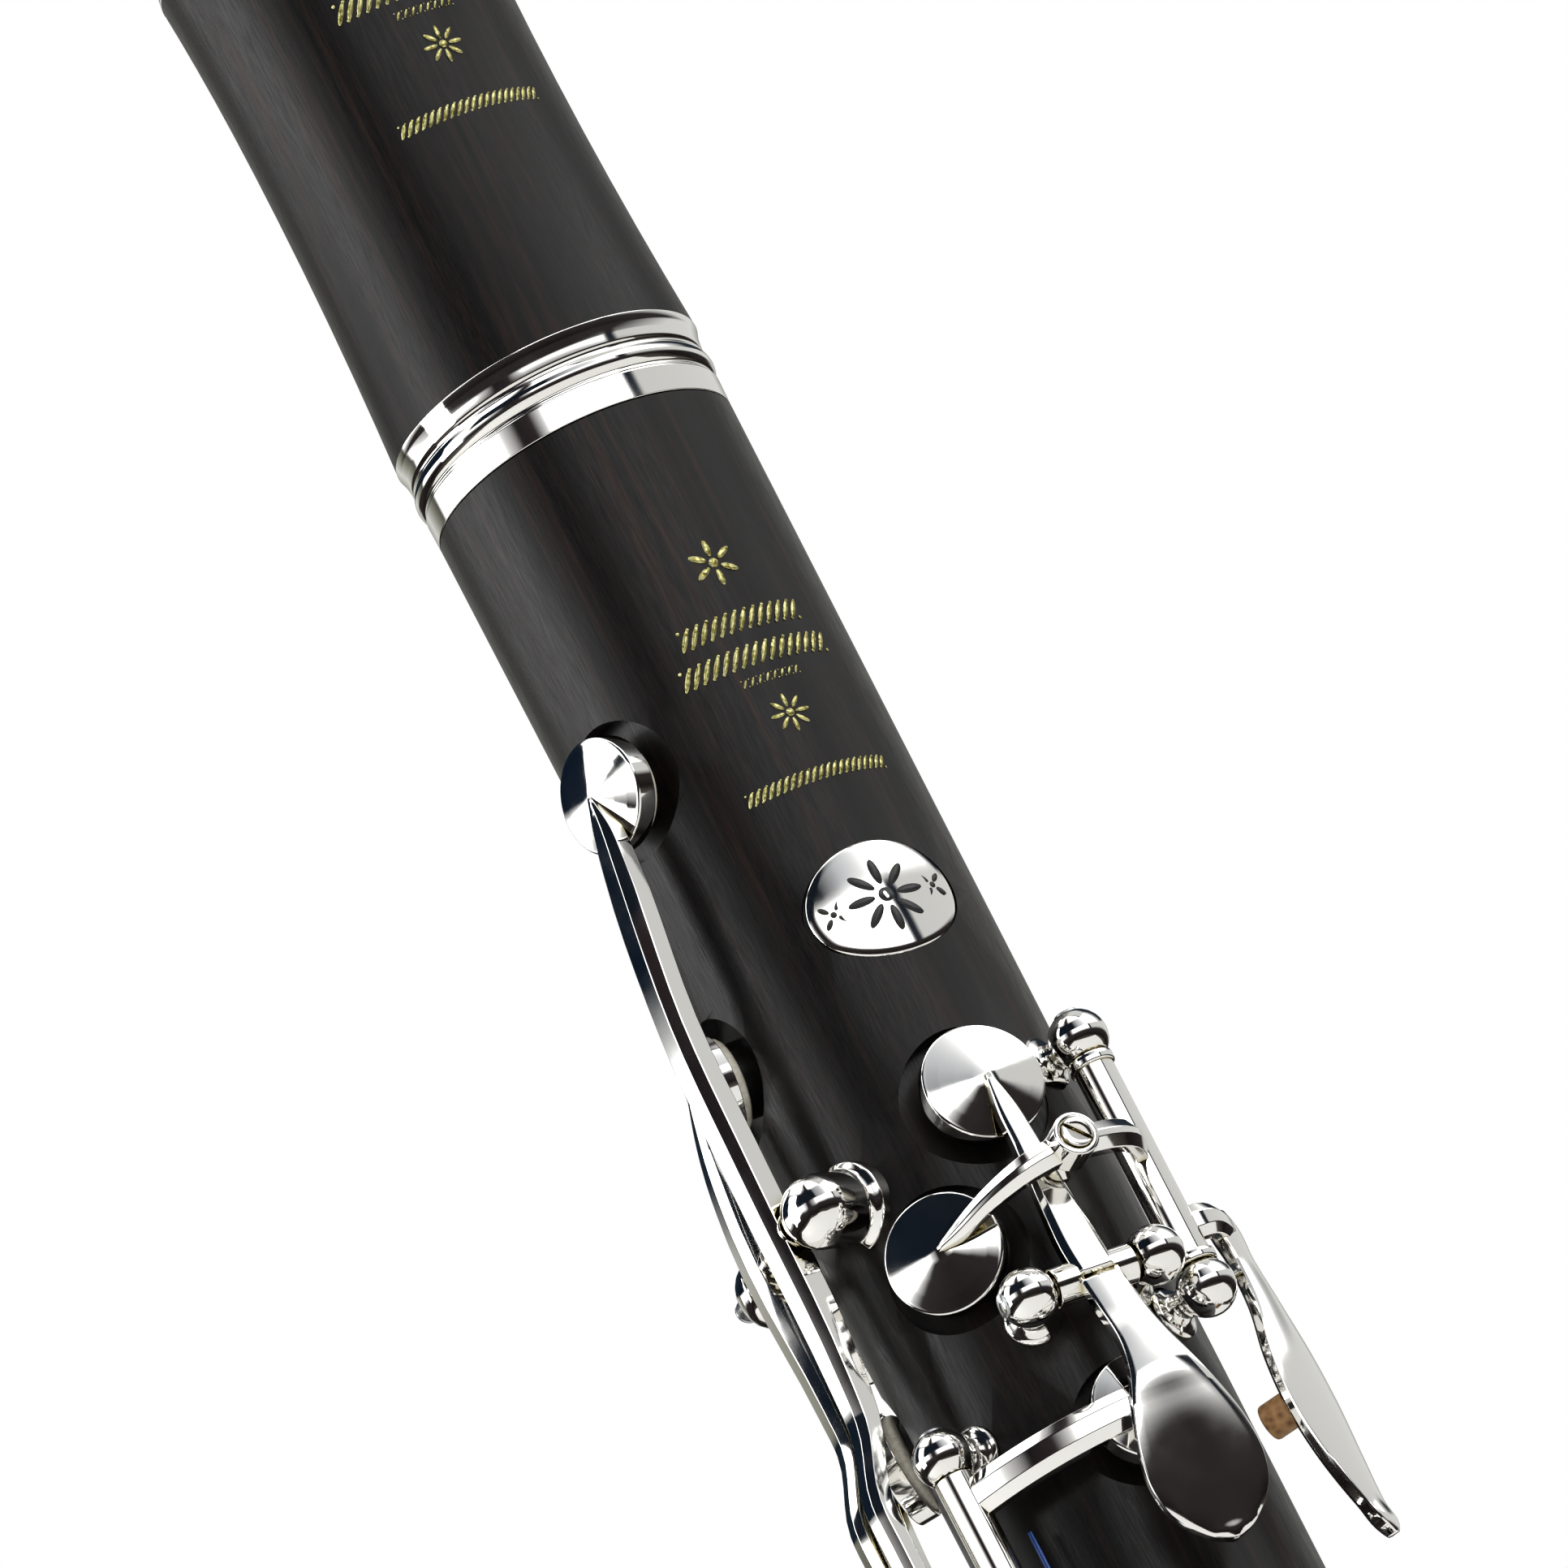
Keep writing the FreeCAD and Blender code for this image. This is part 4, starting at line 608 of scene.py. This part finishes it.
def smooth_path(stations, steps):
    """Stations along a smooth curve through the given ones, steps to each span."""
    rows = [Vector(s[:5]) for s in stations]
    gaps = [max((spot(*a[:3]) - spot(*b[:3])).length, 0.1) for a, b in zip(rows, rows[1:])]
    slopes = [(b - a) / gap for a, b, gap in zip(rows, rows[1:], gaps)]
    ways = [slopes[0]] + [(a * g2 + b * g1) / (g1 + g2) for a, b, g1, g2
                          in zip(slopes, slopes[1:], gaps, gaps[1:])] + [slopes[-1]]
    made = []
    for a, b, m, n, gap in zip(rows, rows[1:], ways, ways[1:], gaps):
        for i in range(steps):
            t = i / steps
            made.append(a * (2 * t ** 3 - 3 * t ** 2 + 1) + m * gap * (t ** 3 - 2 * t ** 2 + t)
                        + b * (3 * t ** 2 - 2 * t ** 3) + n * gap * (t ** 3 - t ** 2))
    return made + [rows[-1]]


def loft(rows, section, lies_up=False, tilt=0):
    """Extrudes a section from row to row of (angle, out, z, width, thickness). Its width runs round the bore,
    tilted to the front by some degrees, or along the bore."""
    bm = bmesh.new()
    face, inner = None, []
    for angle, out, z, width, thick in rows:
        side, top = UP if lies_up else around(angle - tilt), radial(angle - tilt)
        corners = [spot(angle, out, z) + side * a + top * b for a, b in section(width, thick)]
        if face is None:
            face = bm.faces.new([bm.verts.new(c) for c in corners])
            before = corners
            continue
        inner.append(face)
        made = bmesh.ops.extrude_face_region(bm, geom=[face])["geom"]
        face = next(f for f in made if isinstance(f, bmesh.types.BMFace))
        ring = [loop.vert for loop in face.loops]
        first = min(range(len(before)), key=lambda i: (before[i] - ring[0].co).length)
        turn = 1 if (before[(first + 1) % len(before)] - ring[1].co).length < one_place else -1
        for i, vert in enumerate(ring):
            vert.co = corners[(first + turn * i) % len(corners)]
        before = corners
    bmesh.ops.delete(bm, geom=inner[1:], context="FACES_ONLY")
    return bm


def bar(*stations, flat=0.42, drop=0.55, steps=5):
    """A forged bar with a flat top between two wide bevels. A station is (angle, out, z, width, thickness)
    and, where the bar's width runs along the bore instead of round it, "up"."""
    def section(width, thick):
        half, low, high = width / 2, -thick / 2, thick / 2
        fall = min(drop, width * 0.2)
        return soften([(-half, low), (half, low), (half, high - fall), (half * flat, high),
                       (-half * flat, high), (-half, high - fall)], 0.08)
    return loft(smooth_path(stations, steps), section, len(stations[0]) > 5)


def crowned(width, thick, crown=0.3):
    """The section of a touch: flat below, crisp at its edges and a little domed on top."""
    half, low, high = width / 2, -thick / 2, thick / 2
    rise = min(crown, width * 0.1)
    shares = [0.97 - 1.94 * i / 12 for i in range(13)]
    sides = soften([(half * 0.97, high - rise), (-half, high - rise - 0.1), (-half, low + 0.3),
                    (0.2 - half, low), (half - 0.2, low), (half, low + 0.3), (half, high - rise - 0.1)],
                   0.05)[3:]
    return sides[::-1] + [Vector((half * s, high - rise * s * s)) for s in shares][::-1]


def leaf(angle, out, z_wide, r_wide, z_thin, r_thin, thick=1.6):
    """A touch piece whose outline goes round a wide circle and a narrow one."""
    span = abs(z_wide - z_thin)
    lean = math.asin((r_wide - r_thin) / span)
    way = math.copysign(1, z_wide - z_thin)
    rows = []
    for centre, radius, first, last, count in ((0, r_thin, -1.54, -lean, 8), (span, r_wide, -lean, 1.54, 14)):
        for i in range(count + 1):
            t = first + (last - first) * i / count
            z = z_thin + way * (centre + radius * math.sin(t))
            rows.append((angle, out, z, 2 * radius * math.cos(t), thick))
    return loft(rows, crowned)


def hoop(z, start, finish, out_start, out_finish, bulge=0.0, width=3.2, steps=5):
    """A bar that runs round the wood at one height between two angles, bowed outwards by bulge."""
    thick = 1.7
    stations = []
    for i in range(steps + 1):
        t = i / steps
        out = out_start + (out_finish - out_start) * t + bulge * 4 * t * (1 - t)
        stations.append((start + (finish - start) * t, out, z, width, thick, "up"))
    return bar(*stations, steps=3)


def finger_ring(z, angle=0.0):
    """The flat ring round a finger hole's chimney."""
    return sleeve(6.0, 7.25, 0, 1.6, spot(angle, wood_radius(z) + ring_lift, z), radial(angle), 0.3, 96)


def ring_arm(z, rod_angle, rod_out):
    """The arm from a hinge tube to the near edge of a finger ring."""
    out = wood_radius(z) + ring_middle
    angle = math.copysign(math.degrees(math.atan2(ring_edge, out)), rod_angle)
    return hoop(z, rod_angle, angle, rod_out, math.hypot(ring_edge, out), 0.5, 3.0)


def make_key(name, shapes, hinge_point, hinge_axis, pad=None, opened=0.0):
    """One plated key and its pad. A key that stands open is drawn shut and swung back by opened degrees."""
    swing = (Matrix.Translation(hinge_point) @ Matrix.Rotation(math.radians(-opened), 4, hinge_axis)
             @ Matrix.Translation(-hinge_point))
    if pad:
        label = name.replace("_key", "") + "_pad"
        make_piece(label + "_skinned", [pad_disc(*pad)], name, skin, [label], swing)
        shapes = shapes + [cup(*pad)]
    make_piece(name + "_plated", shapes, name, silver, [name], swing)


# ------------------------ throat A key
# On the front: a pad cup above the hinge, a neck that dives under the G sharp key's arm, with a lug for its
# screw, and a bar that rises and widens to a crowned teardrop, which slopes down to its tip.

angle, out, z = -3.4, 18.2, 438
low, high = cross_hinge("upper", angle, out, z, 6.4)
pad = (angle, 459.5, 5.65)
touch = [(angle, 19.5, 437.5, 3.9, 1.8), (angle, 20.4, 434, 4.0, 1.9), (angle, 21.9, 429.5, 4.6, 1.8),
         (angle, 22.5, 426.5, 6.0, 1.7), (angle, 22.2, 423, 8.6, 1.6), (angle, 21.6, 419, 10.8, 1.6),
         (angle, 21.0, 415.5, 11.2, 1.6), (angle, 20.5, 412.7, 9.4, 1.6), (angle, 20.2, 410.8, 6.2, 1.5),
         (angle, 20.1, 409.8, 3.4, 1.4), (angle, 20.0, 409.3, 0.8, 1.3)]
make_key("throat_a_key", [
    cross_tube(angle, out, z, low, high),
    bar((angle, 17.7, 459.5, 0.5, 1.5), (angle, 18.3, 455.5, 2.0, 1.6), (angle, 18.6, 452, 2.4, 1.7),
        (angle, 18.7, 446, 3.2, 1.7), (angle, 18.9, 441, 3.9, 1.8), (angle, 19.5, 437.5, 3.9, 1.8), flat=0.7),
    bar((angle, 18.5, 449, 3.2, 1.4, "up"), (4, 18.5, 449, 3.2, 1.4, "up")),
    loft(smooth_path(touch, 6), crowned)], spot(angle, out, z), around(angle), pad)


# ------------------------ throat G sharp key
# Its hinge lies along the bore on the right. One slender arm reaches over the A key to the left-hand cup, and
# an adjusting screw in a round boss on it meets the A key. The touch is a long leaf on the right.

angle, out = 33.6, 18.3
low, high = long_hinge("upper", angle, out, 434.9, 461.2)
boss_angle, boss_z, boss_out = 2.2, 449, 20.7
boss_way = radial(boss_angle)
boss = sleeve(1.5, 2.15, 0.4, 3.7, spot(boss_angle, boss_out, boss_z), boss_way)
collars = [sleeve(1.8, 2.15, 0, 1.0, spot(angle, out, foot), UP, 0.2) for foot in (low, high - 1.0)]
touch = [(50, 20.2, 442.2, 1.4, 1.4), (50, 20.2, 441.5, 2.6, 1.6), (50, 20.3, 437, 3.0, 1.6),
         (49.5, 20.5, 432.5, 4.0, 1.7), (47.2, 20.6, 427, 6.6, 1.8), (46.6, 20.6, 422, 7.4, 1.8),
         (46.4, 20.7, 416, 5.8, 1.7), (47, 21.0, 411, 3.2, 1.5), (48.5, 21.3, 407.9, 1.4, 1.4),
         (48.6, 21.3, 407.5, 0.6, 1.2)]
make_key("throat_g_sharp_key", [
    tube(angle, out, low, high), boss,
    bar((angle, 18.4, 449.2, 3.4, 2.2, "up"), (22, 21.3, 449.2, 3.0, 1.7, "up"),
        (8, 22.0, 449.1, 2.8, 1.7, "up"), (-6, 21.9, 448.6, 2.6, 1.7, "up"),
        (-20, 19.8, 447.8, 2.2, 1.6, "up"), (-32, 18.2, 446.8, 1.5, 1.6, "up"),
        (-38.9, 17.6, 446.4, 0.5, 1.5, "up"), flat=0.24, drop=0.6),
    bar((angle, 18.4, 441, 3.4, 2.2, "up"), (41, 20.4, 441, 3.2, 1.6, "up"),
        (50, 20.4, 440.6, 3.0, 1.6, "up")),
    loft(smooth_path(touch, 6), lambda wide, thick: crowned(wide, thick, 0.9), tilt=12)] + collars,
    spot(angle, out, 449), UP, (-38.9, 446.4, 5.6))
bumper_z, bumper_angle = 422, 43
make_piece("touch_bumper", [disc(1.75, 16.3, 20.2, UP * bumper_z, radial(bumper_angle), 0.25, 48)],
           "throat_g_sharp_key", cork)
make_piece("adjusting_screw_slotted", slotted(1.45, 3.9, spot(boss_angle, boss_out + 0.1, boss_z), boss_way),
           "throat_g_sharp_key", silver, ["adjusting_screw"])


# ------------------------ trill keys
# Two long side keys share one hinge across the left of the joint. Each is a bevelled bar that runs from its
# cup, over the hinge, and steps out to a touch beside the first finger's hole.

def domed_post(where, centre, way):
    """A stout post with a wide foot and a domed top, milled flat beside the tube."""
    angle = math.degrees(math.atan2(centre.x, -centre.y))
    top = wood_radius(centre.z)
    outline = [(0, -2.0), (4.3, -2.0), (4.3, 0.35), (4.0, 0.6), (3.55, 0.9), (3.45, 1.3), (3.45, 4.4),
               (3.35, 5.2), (3.0, 6.0), (2.4, 6.7), (1.6, 7.2), (0.8, 7.45), (0, 7.5)]
    shape = lathe(outline, spot(angle, top, centre.z), radial(angle), 0.2, steps=56)
    mill(shape, centre + way * flat_side, way)
    post_shapes[where].append(shape)


angle, out, z = -89, 18.5, 456
low, high = cross_hinge("upper", angle, out, z, 7.85, domed_post)
gap = 0.15
make_key("trill_key_1", [
    cross_tube(angle, out, z, gap, high),
    bar((-72, 17.6, 501.2, 0.5, 1.6), (-72.4, 18.2, 497.5, 2.6, 2.0), (-73, 18.7, 494, 3.4, 2.3),
        (-77.6, 20.0, 478, 3.9, 2.5), (-79.5, 20.1, 462, 4.0, 2.7), (-81.0, 20.3, 441, 3.5, 2.5),
        (-81.6, 20.6, 437, 3.2, 2.2), (-81.7, 23.2, 429, 3.0, 2.0), (-81.7, 23.4, 424, 3.0, 1.8),
        (-81.7, 23.4, 402, 3.0, 1.7), flat=0.5, drop=0.9),
    leaf(-81.7, 23.4, 386, 1.6, 402, 1.45, 1.7)], spot(angle, out, z), around(angle), (-72, 501.2, 5.3))
make_key("trill_key_2", [
    cross_tube(angle, out, z, low, -gap),
    bar((-98.5, 17.6, 474, 0.5, 1.5), (-98.5, 18.3, 470.5, 2.6, 1.9), (-98.5, 18.7, 468, 3.3, 2.2),
        (-98.5, 19.5, 460, 3.9, 2.7), (-94.5, 20.0, 441, 3.5, 2.5), (-93.5, 20.4, 437, 3.2, 2.2),
        (-92.2, 23.2, 429, 3.0, 2.0), (-92.2, 23.4, 424, 3.0, 1.8), (-92.2, 23.4, 402, 3.0, 1.7),
        flat=0.5, drop=0.9),
    leaf(-92.2, 23.4, 386, 1.6, 402, 1.45, 1.7)], spot(angle, out, z), around(angle), (-98.5, 474, 5.0))


# ------------------------ third and fourth side keys
# Each has a hinge of its own lower down on the left. The third key lies further round towards the back, and
# both end in small touches for the side of the first finger.

angle, out, z = -124, 17.9, 418
low, high = cross_hinge("upper", angle, out, z, 5.0)
make_key("side_key_3", [
    cross_tube(angle, out, z, low, high),
    bar((-128, 17.4, 437, 0.5, 1.5), (-128, 18.1, 433.5, 2.0, 1.6), (-127, 18.3, 431, 2.8, 1.7),
        (-124, 18.4, 420, 3.2, 1.8), (-124.5, 18.8, 410, 3.2, 1.8), (-125, 20.8, 394, 3.2, 1.7),
        (-125, 21.5, 369.5, 3.2, 1.7), (-119, 21.7, 361, 3.6, 1.7)),
    leaf(-117.5, 21.8, 350.5, 3.2, 361, 2.4, 1.7)], spot(angle, out, z), around(angle), (-128, 437, 5.25))
angle, out, z = -96, 17.7, 375
low, high = cross_hinge("upper", angle, out, z, 4.5)
make_key("side_key_4", [
    cross_tube(angle, out, z, low, high),
    bar((-96, 17.0, 392, 0.5, 1.4), (-96, 17.7, 388.5, 2.0, 1.5), (-96, 17.9, 386, 2.6, 1.6),
        (-96, 18.0, 376, 2.8, 1.7), (-95, 20.6, 368, 3.2, 1.7), (-94, 21.5, 362, 3.6, 1.7)),
    leaf(-94, 21.6, 351.5, 3.3, 362, 2.4, 1.7)], spot(angle, out, z), around(angle), (-96, 392, 4.75))


# ------------------------ upper ring keys
# The left hand's rings share one rod on the left of the finger holes, in two lengths of tube. The upper
# length also carries the vent cup on the front, and the lower one a cup on the right and the bridge lever.

angle, out, step, opened = -67, 18.4, 391.4, 3.4
low, high = long_hinge("upper", angle, out, 344.2, 430.0, [step])
stop = flat_side + play
make_key("first_ring_key", [
    tube(angle, out, step + stop, high), finger_ring(399), ring_arm(399, angle, out),
    hoop(425, angle, -2.9, out, 17.6, -0.8, 3.8)], spot(angle, out, 410), UP, (-2.9, 425, 5.25), opened)
make_key("upper_stack_key", [
    tube(angle, out, low, step - stop), finger_ring(376), ring_arm(376, angle, out),
    hoop(387.2, angle, 40, out, 17.3, 1.2, steps=8),
    bar((angle, 18.4, 350.5, 3.4, 2.2, "up"), (-75, 20.3, 349.5, 3.4, 1.8, "up"),
        (-82, 21.2, 345, 4.0, 1.8, "up")),
    bar((-82, 21.2, 343.5, 4.6, 1.8), (-82, 21.2, 331, 4.6, 1.8))],
    spot(angle, out, 368), UP, (40, 387.2, 4.75), opened)


# ------------------------ register key
# On the back: a thumb touch, a hinge across the bore and a long arm to the small cup over the speaker vent.
# The vent itself is a plated tube that stands a little way into the bore.

angle, out, z = 180, 18.2, 452
low, high = cross_hinge("upper", angle, out, z, 6.4)
make_key("register_key", [
    cross_tube(angle, out, z, low, high),
    bar((angle, 17.6, 488, 0.5, 1.5), (angle, 18.3, 484.5, 2.0, 1.6), (angle, 18.6, 478, 2.8, 1.7),
        (angle, 18.6, 456, 3.4, 1.8), (angle, 18.4, 451, 3.6, 1.8), (angle, 19.6, 441, 3.6, 1.7),
        (angle, 19.6, 430, 4.4, 1.6)),
    leaf(angle, 19.6, 418.5, 5.0, 430, 3.2)], spot(angle, out, z), around(angle), (angle, 488, 4.6))
dress(silver, "register_tube")


# ------------------------ thumb ring key
# The left thumb's ring on the back has a short hinge of its own.

angle, out, opened = -140, 17.9, 4.5
low, high = long_hinge("upper", angle, out, 394.0, 412.0)
ring_out = wood_radius(403) + ring_middle
ring_angle = math.degrees(math.atan2(ring_edge, ring_out)) - 180
make_key("thumb_ring_key", [
    tube(angle, out, low, high), finger_ring(403, 180),
    hoop(403, angle, ring_angle, out, math.hypot(ring_edge, ring_out), 0.2, 3.4)], spot(angle, out, 403), -UP,
    opened=opened)


# ------------------------ cross-fingering keys
# A sliver touch between two rings, on both joints: a short hinge, a small cup on the left of it and a blade
# that the finger rolls on to.

for name, where, z in (("upper_sliver_key", "upper", 363.9), ("lower_sliver_key", "lower", 269)):
    angle, out, half = -27, 17.8, 5.6
    low, high = long_hinge(where, angle, out, z - half, z + half)
    make_key(name, [
        tube(angle, out, low, high), hoop(z, -46, angle, seat_at(z) + 4.0, out, 0.3, 2.4, 3),
        bar((angle, out, z, 4.0, 2.0, "up"), (-17, 18.6, z, 3.4, 1.7, "up"), (-5, 18.2, z, 3.0, 1.7, "up"))],
        spot(angle, out, z), UP, (-46, z, 3.8))


# ------------------------ C sharp key
# The left little finger's key on the right of the upper joint, with its hinge along the bore.

angle, out = 62, 18.1
low, high = long_hinge("upper", angle, out, 343.0, 369.0)
make_key("c_sharp_key", [
    tube(angle, out, low, high), hoop(362, 32, angle, 17.5, out, 0.5),
    bar((62, 18.1, 352, 4.0, 2.0, "up"), (71, 20.4, 351.5, 4.0, 1.7, "up"), (80, 21.3, 349, 4.4, 1.6, "up")),
    leaf(80, 21.4, 337, 4.2, 349, 2.6)], spot(angle, out, 356), UP, (32, 362, 5.25))


# ------------------------ lower ring keys
# The right hand's three rings stand on one tube, with a vent cup on the right and the lever that meets the
# upper joint's bridge.

angle, out, opened, rings = -67, 18.8, 3.4, (304, 281, 257)
low, high = long_hinge("lower", angle, out, 243.0, 319.0)
make_key("lower_stack_key", [
    tube(angle, out, low, high), hoop(314.5, angle, 40, out, 18.0, 1.2, steps=8),
    bar((angle, 18.8, 312, 4.0, 2.2, "up"), (-75, 19.0, 314, 4.0, 1.8, "up"),
        (-82, 19.0, 318, 4.6, 1.7, "up")),
    bar((-82, 19.0, 316, 4.2, 1.7), (-82, 19.0, 336, 4.2, 1.7))]
    + [finger_ring(z) for z in rings] + [ring_arm(z, angle, out) for z in rings],
    spot(angle, out, 281), UP, (40, 314.5, 4.75), opened)


# ------------------------ A flat key
# The right little finger's key on the left, with its hinge across the bore.

angle, out, z = -85, 18.9, 222
low, high = cross_hinge("lower", angle, out, z, 6.4)
make_key("a_flat_key", [
    cross_tube(angle, out, z, low, high),
    bar((-98, 18.1, 240, 0.6, 1.6), (-97, 18.7, 236, 2.2, 1.7), (-95, 19.1, 233, 3.0, 1.7),
        (-85, 19.2, 223, 3.6, 1.8), (-74, 21.2, 215, 4.0, 1.7), (-62, 21.6, 210, 6.0, 1.6)),
    leaf(-58, 21.8, 203, 5.2, 212, 3.4)], spot(angle, out, z), around(angle), (-98, 240, 6.2))


# ------------------------ little-finger keys
# Three large open cups near the bell, each on a tube of its own down the right side, with a plate for the
# right little finger and a crank that a left-hand lever lifts.

for name, angle, out, foot, pad, plate_z, bulge in (
        ("f_key", 58, 18.9, 187.0, (-18, 198, 7.4), 215.8, 2.6),
        ("f_sharp_key", 80, 19.2, 163.0, (8, 172, 7.7), 225.5, 3.2),
        ("e_key", 103, 19.2, 129.0, (5, 138, 8.2), 235.2, 4.4)):
    low, high = long_hinge("lower", angle, out, foot, 243.0)
    make_key(name, [
        tube(angle, out, low, high), hoop(pad[1], angle, pad[0], out, seat_at(pad[1]) + 4.0, 1.0, 3.6, 8),
        hoop(plate_z, angle, 0, out, 22.0, bulge, 3.0, 8), hoop(plate_z, 1, -24, 22.0, 22.4, 0.6, 4.6),
        bar((angle, out, 239, 3.0, 2.2, "up"), (angle + 5, out + 1.8, 239, 3.0, 1.8, "up"),
            (angle + 10, out + 2.9, 239, 3.0, 1.7, "up")),
        bar((angle + 10, out + 2.9, 237.6, 2.4, 1.6), (angle + 10, out + 2.9, 249, 2.4, 1.6))],
        spot(angle, out, 239), -UP, pad, 4.0)


# ------------------------ left-hand levers
# Three levers for the left little finger, side by side on one hinge across the right of the lower joint.

lever_angle, out, z = 90, 18.9, 262
low, high = cross_hinge("lower", lever_angle, out, z, 13.0)
lane = (high - low) / 3
for i, name in enumerate(("f_lever", "f_sharp_lever", "e_lever")):
    start, finish = low + lane * i + 0.05, low + lane * (i + 1) - 0.05
    offset = (start + finish) / 2
    angle, reach = lever_angle + math.degrees(math.atan2(offset, out)), math.hypot(offset, out)
    make_key(name, [
        cross_tube(lever_angle, out, z, start, finish),
        bar((angle, 19.4, 246.6, 3.0, 1.5), (angle, 19.4, 250, 3.2, 1.6), (angle, reach, 259, 3.4, 1.9),
            (angle, reach + 0.4, 266, 3.4, 1.9), (angle, reach + 2.0, 280, 3.4, 1.8),
            (angle, reach + 2.0, 298, 4.0, 1.7)),
        leaf(angle, reach + 2.0, 309 + 5 * (i % 2), 3.2, 297, 2.4)],
        spot(lever_angle, out, z), -around(lever_angle))


# ------------------------ posts, rods and springs in place
# With every hinge placed, the posts are screwed in and the rods run through. The rods are ground steel, and
# the needle springs are steel wire tempered blue.

steel, tree, place, surface = new_finish("ground_steel")
scratch_size = 0.2
scratch = add_node(tree, "ShaderNodeTexNoise", {"Vector": place, "Scale": 1000 / scratch_size, "Detail": 3.0})
gloss = add_node(tree, "ShaderNodeMapRange", {"Value": scratch, "To Min": 0.22, "To Max": 0.42})
add_node(tree, "ShaderNodeBsdfPrincipled", {
    "Base Color": colour("b9bbbd"), "Metallic": 1.0, "Roughness": gloss}, to=surface)
make_piece("hinge_rods_slotted", rod_shapes, "body", steel, ["hinge_rods"])
for where, shapes in post_shapes.items():
    make_piece(where + "_posts_turned", shapes, "body", silver, [where + "_posts"])

blued, tree, place, surface = new_finish("blued_spring_steel")
temper_size = 6.0
temper = add_node(tree, "ShaderNodeTexNoise", {"Vector": place, "Scale": 1000 / temper_size})
tone = add_node(tree, "ShaderNodeValToRGB", {"Fac": temper}, [
    (0.35, "1c2c52"), (0.6, "33436e"), (0.8, "5a4a52")])
add_node(tree, "ShaderNodeBsdfPrincipled", {
    "Base Color": tone, "Metallic": 1.0, "Roughness": 0.25}, to=surface)
dress(blued, "needle_springs")


# ------------------------ thumb rest
# A cast and plated hook for the right thumb, screwed to the back with two countersunk screws.

dress(silver, "thumb_rest")
dress(steel, "thumb_rest_screws")


# ------------------------ mouthpiece
# Moulded and hand-faced ebonite, buffed by hand: a deep black gloss with slightly duller clouds in it.

ebonite, tree, place, surface = new_finish("buffed_ebonite")
cloud_size = 3.0
buffing = add_node(tree, "ShaderNodeTexNoise", {"Vector": place, "Scale": 1000 / cloud_size, "Detail": 6.0})
gloss = add_node(tree, "ShaderNodeMapRange", {"Value": buffing, "To Min": 0.08, "To Max": 0.2})
tone = add_node(tree, "ShaderNodeValToRGB", {"Fac": buffing}, [(0.3, "070707"), (0.7, "0e0d0c")])
add_node(tree, "ShaderNodeBsdfPrincipled", {
    "Base Color": tone, "Roughness": gloss, "IOR": 1.6}, to=surface)
dress(ebonite, "mouthpiece")


# ------------------------ reed
# A blade of cane, flat behind and scraped thin towards its tip: straw yellow with long darker fibres.

cane, tree, place, surface = new_finish("scraped_cane")
fibre_place = add_node(tree, "ShaderNodeMapping", {"Vector": place, "Scale": streaks(0.35, 30)})
fibre = add_node(tree, "ShaderNodeTexNoise", {"Vector": fibre_place, "Scale": 1.0, "Detail": 3.0})
tone = add_node(tree, "ShaderNodeValToRGB", {"Fac": fibre}, [
    (0.3, "a98542"), (0.5, "d0ae68"), (0.7, "e3c98c")])
add_node(tree, "ShaderNodeBsdfPrincipled", {"Base Color": tone, "Roughness": 0.5}, to=surface)
dress(cane, "reed")


# ------------------------ ligature
# A band of plated metal closes round mouthpiece and reed, with one knurled screw at the back.

dress(silver, "ligature_band", "ligature_screw")
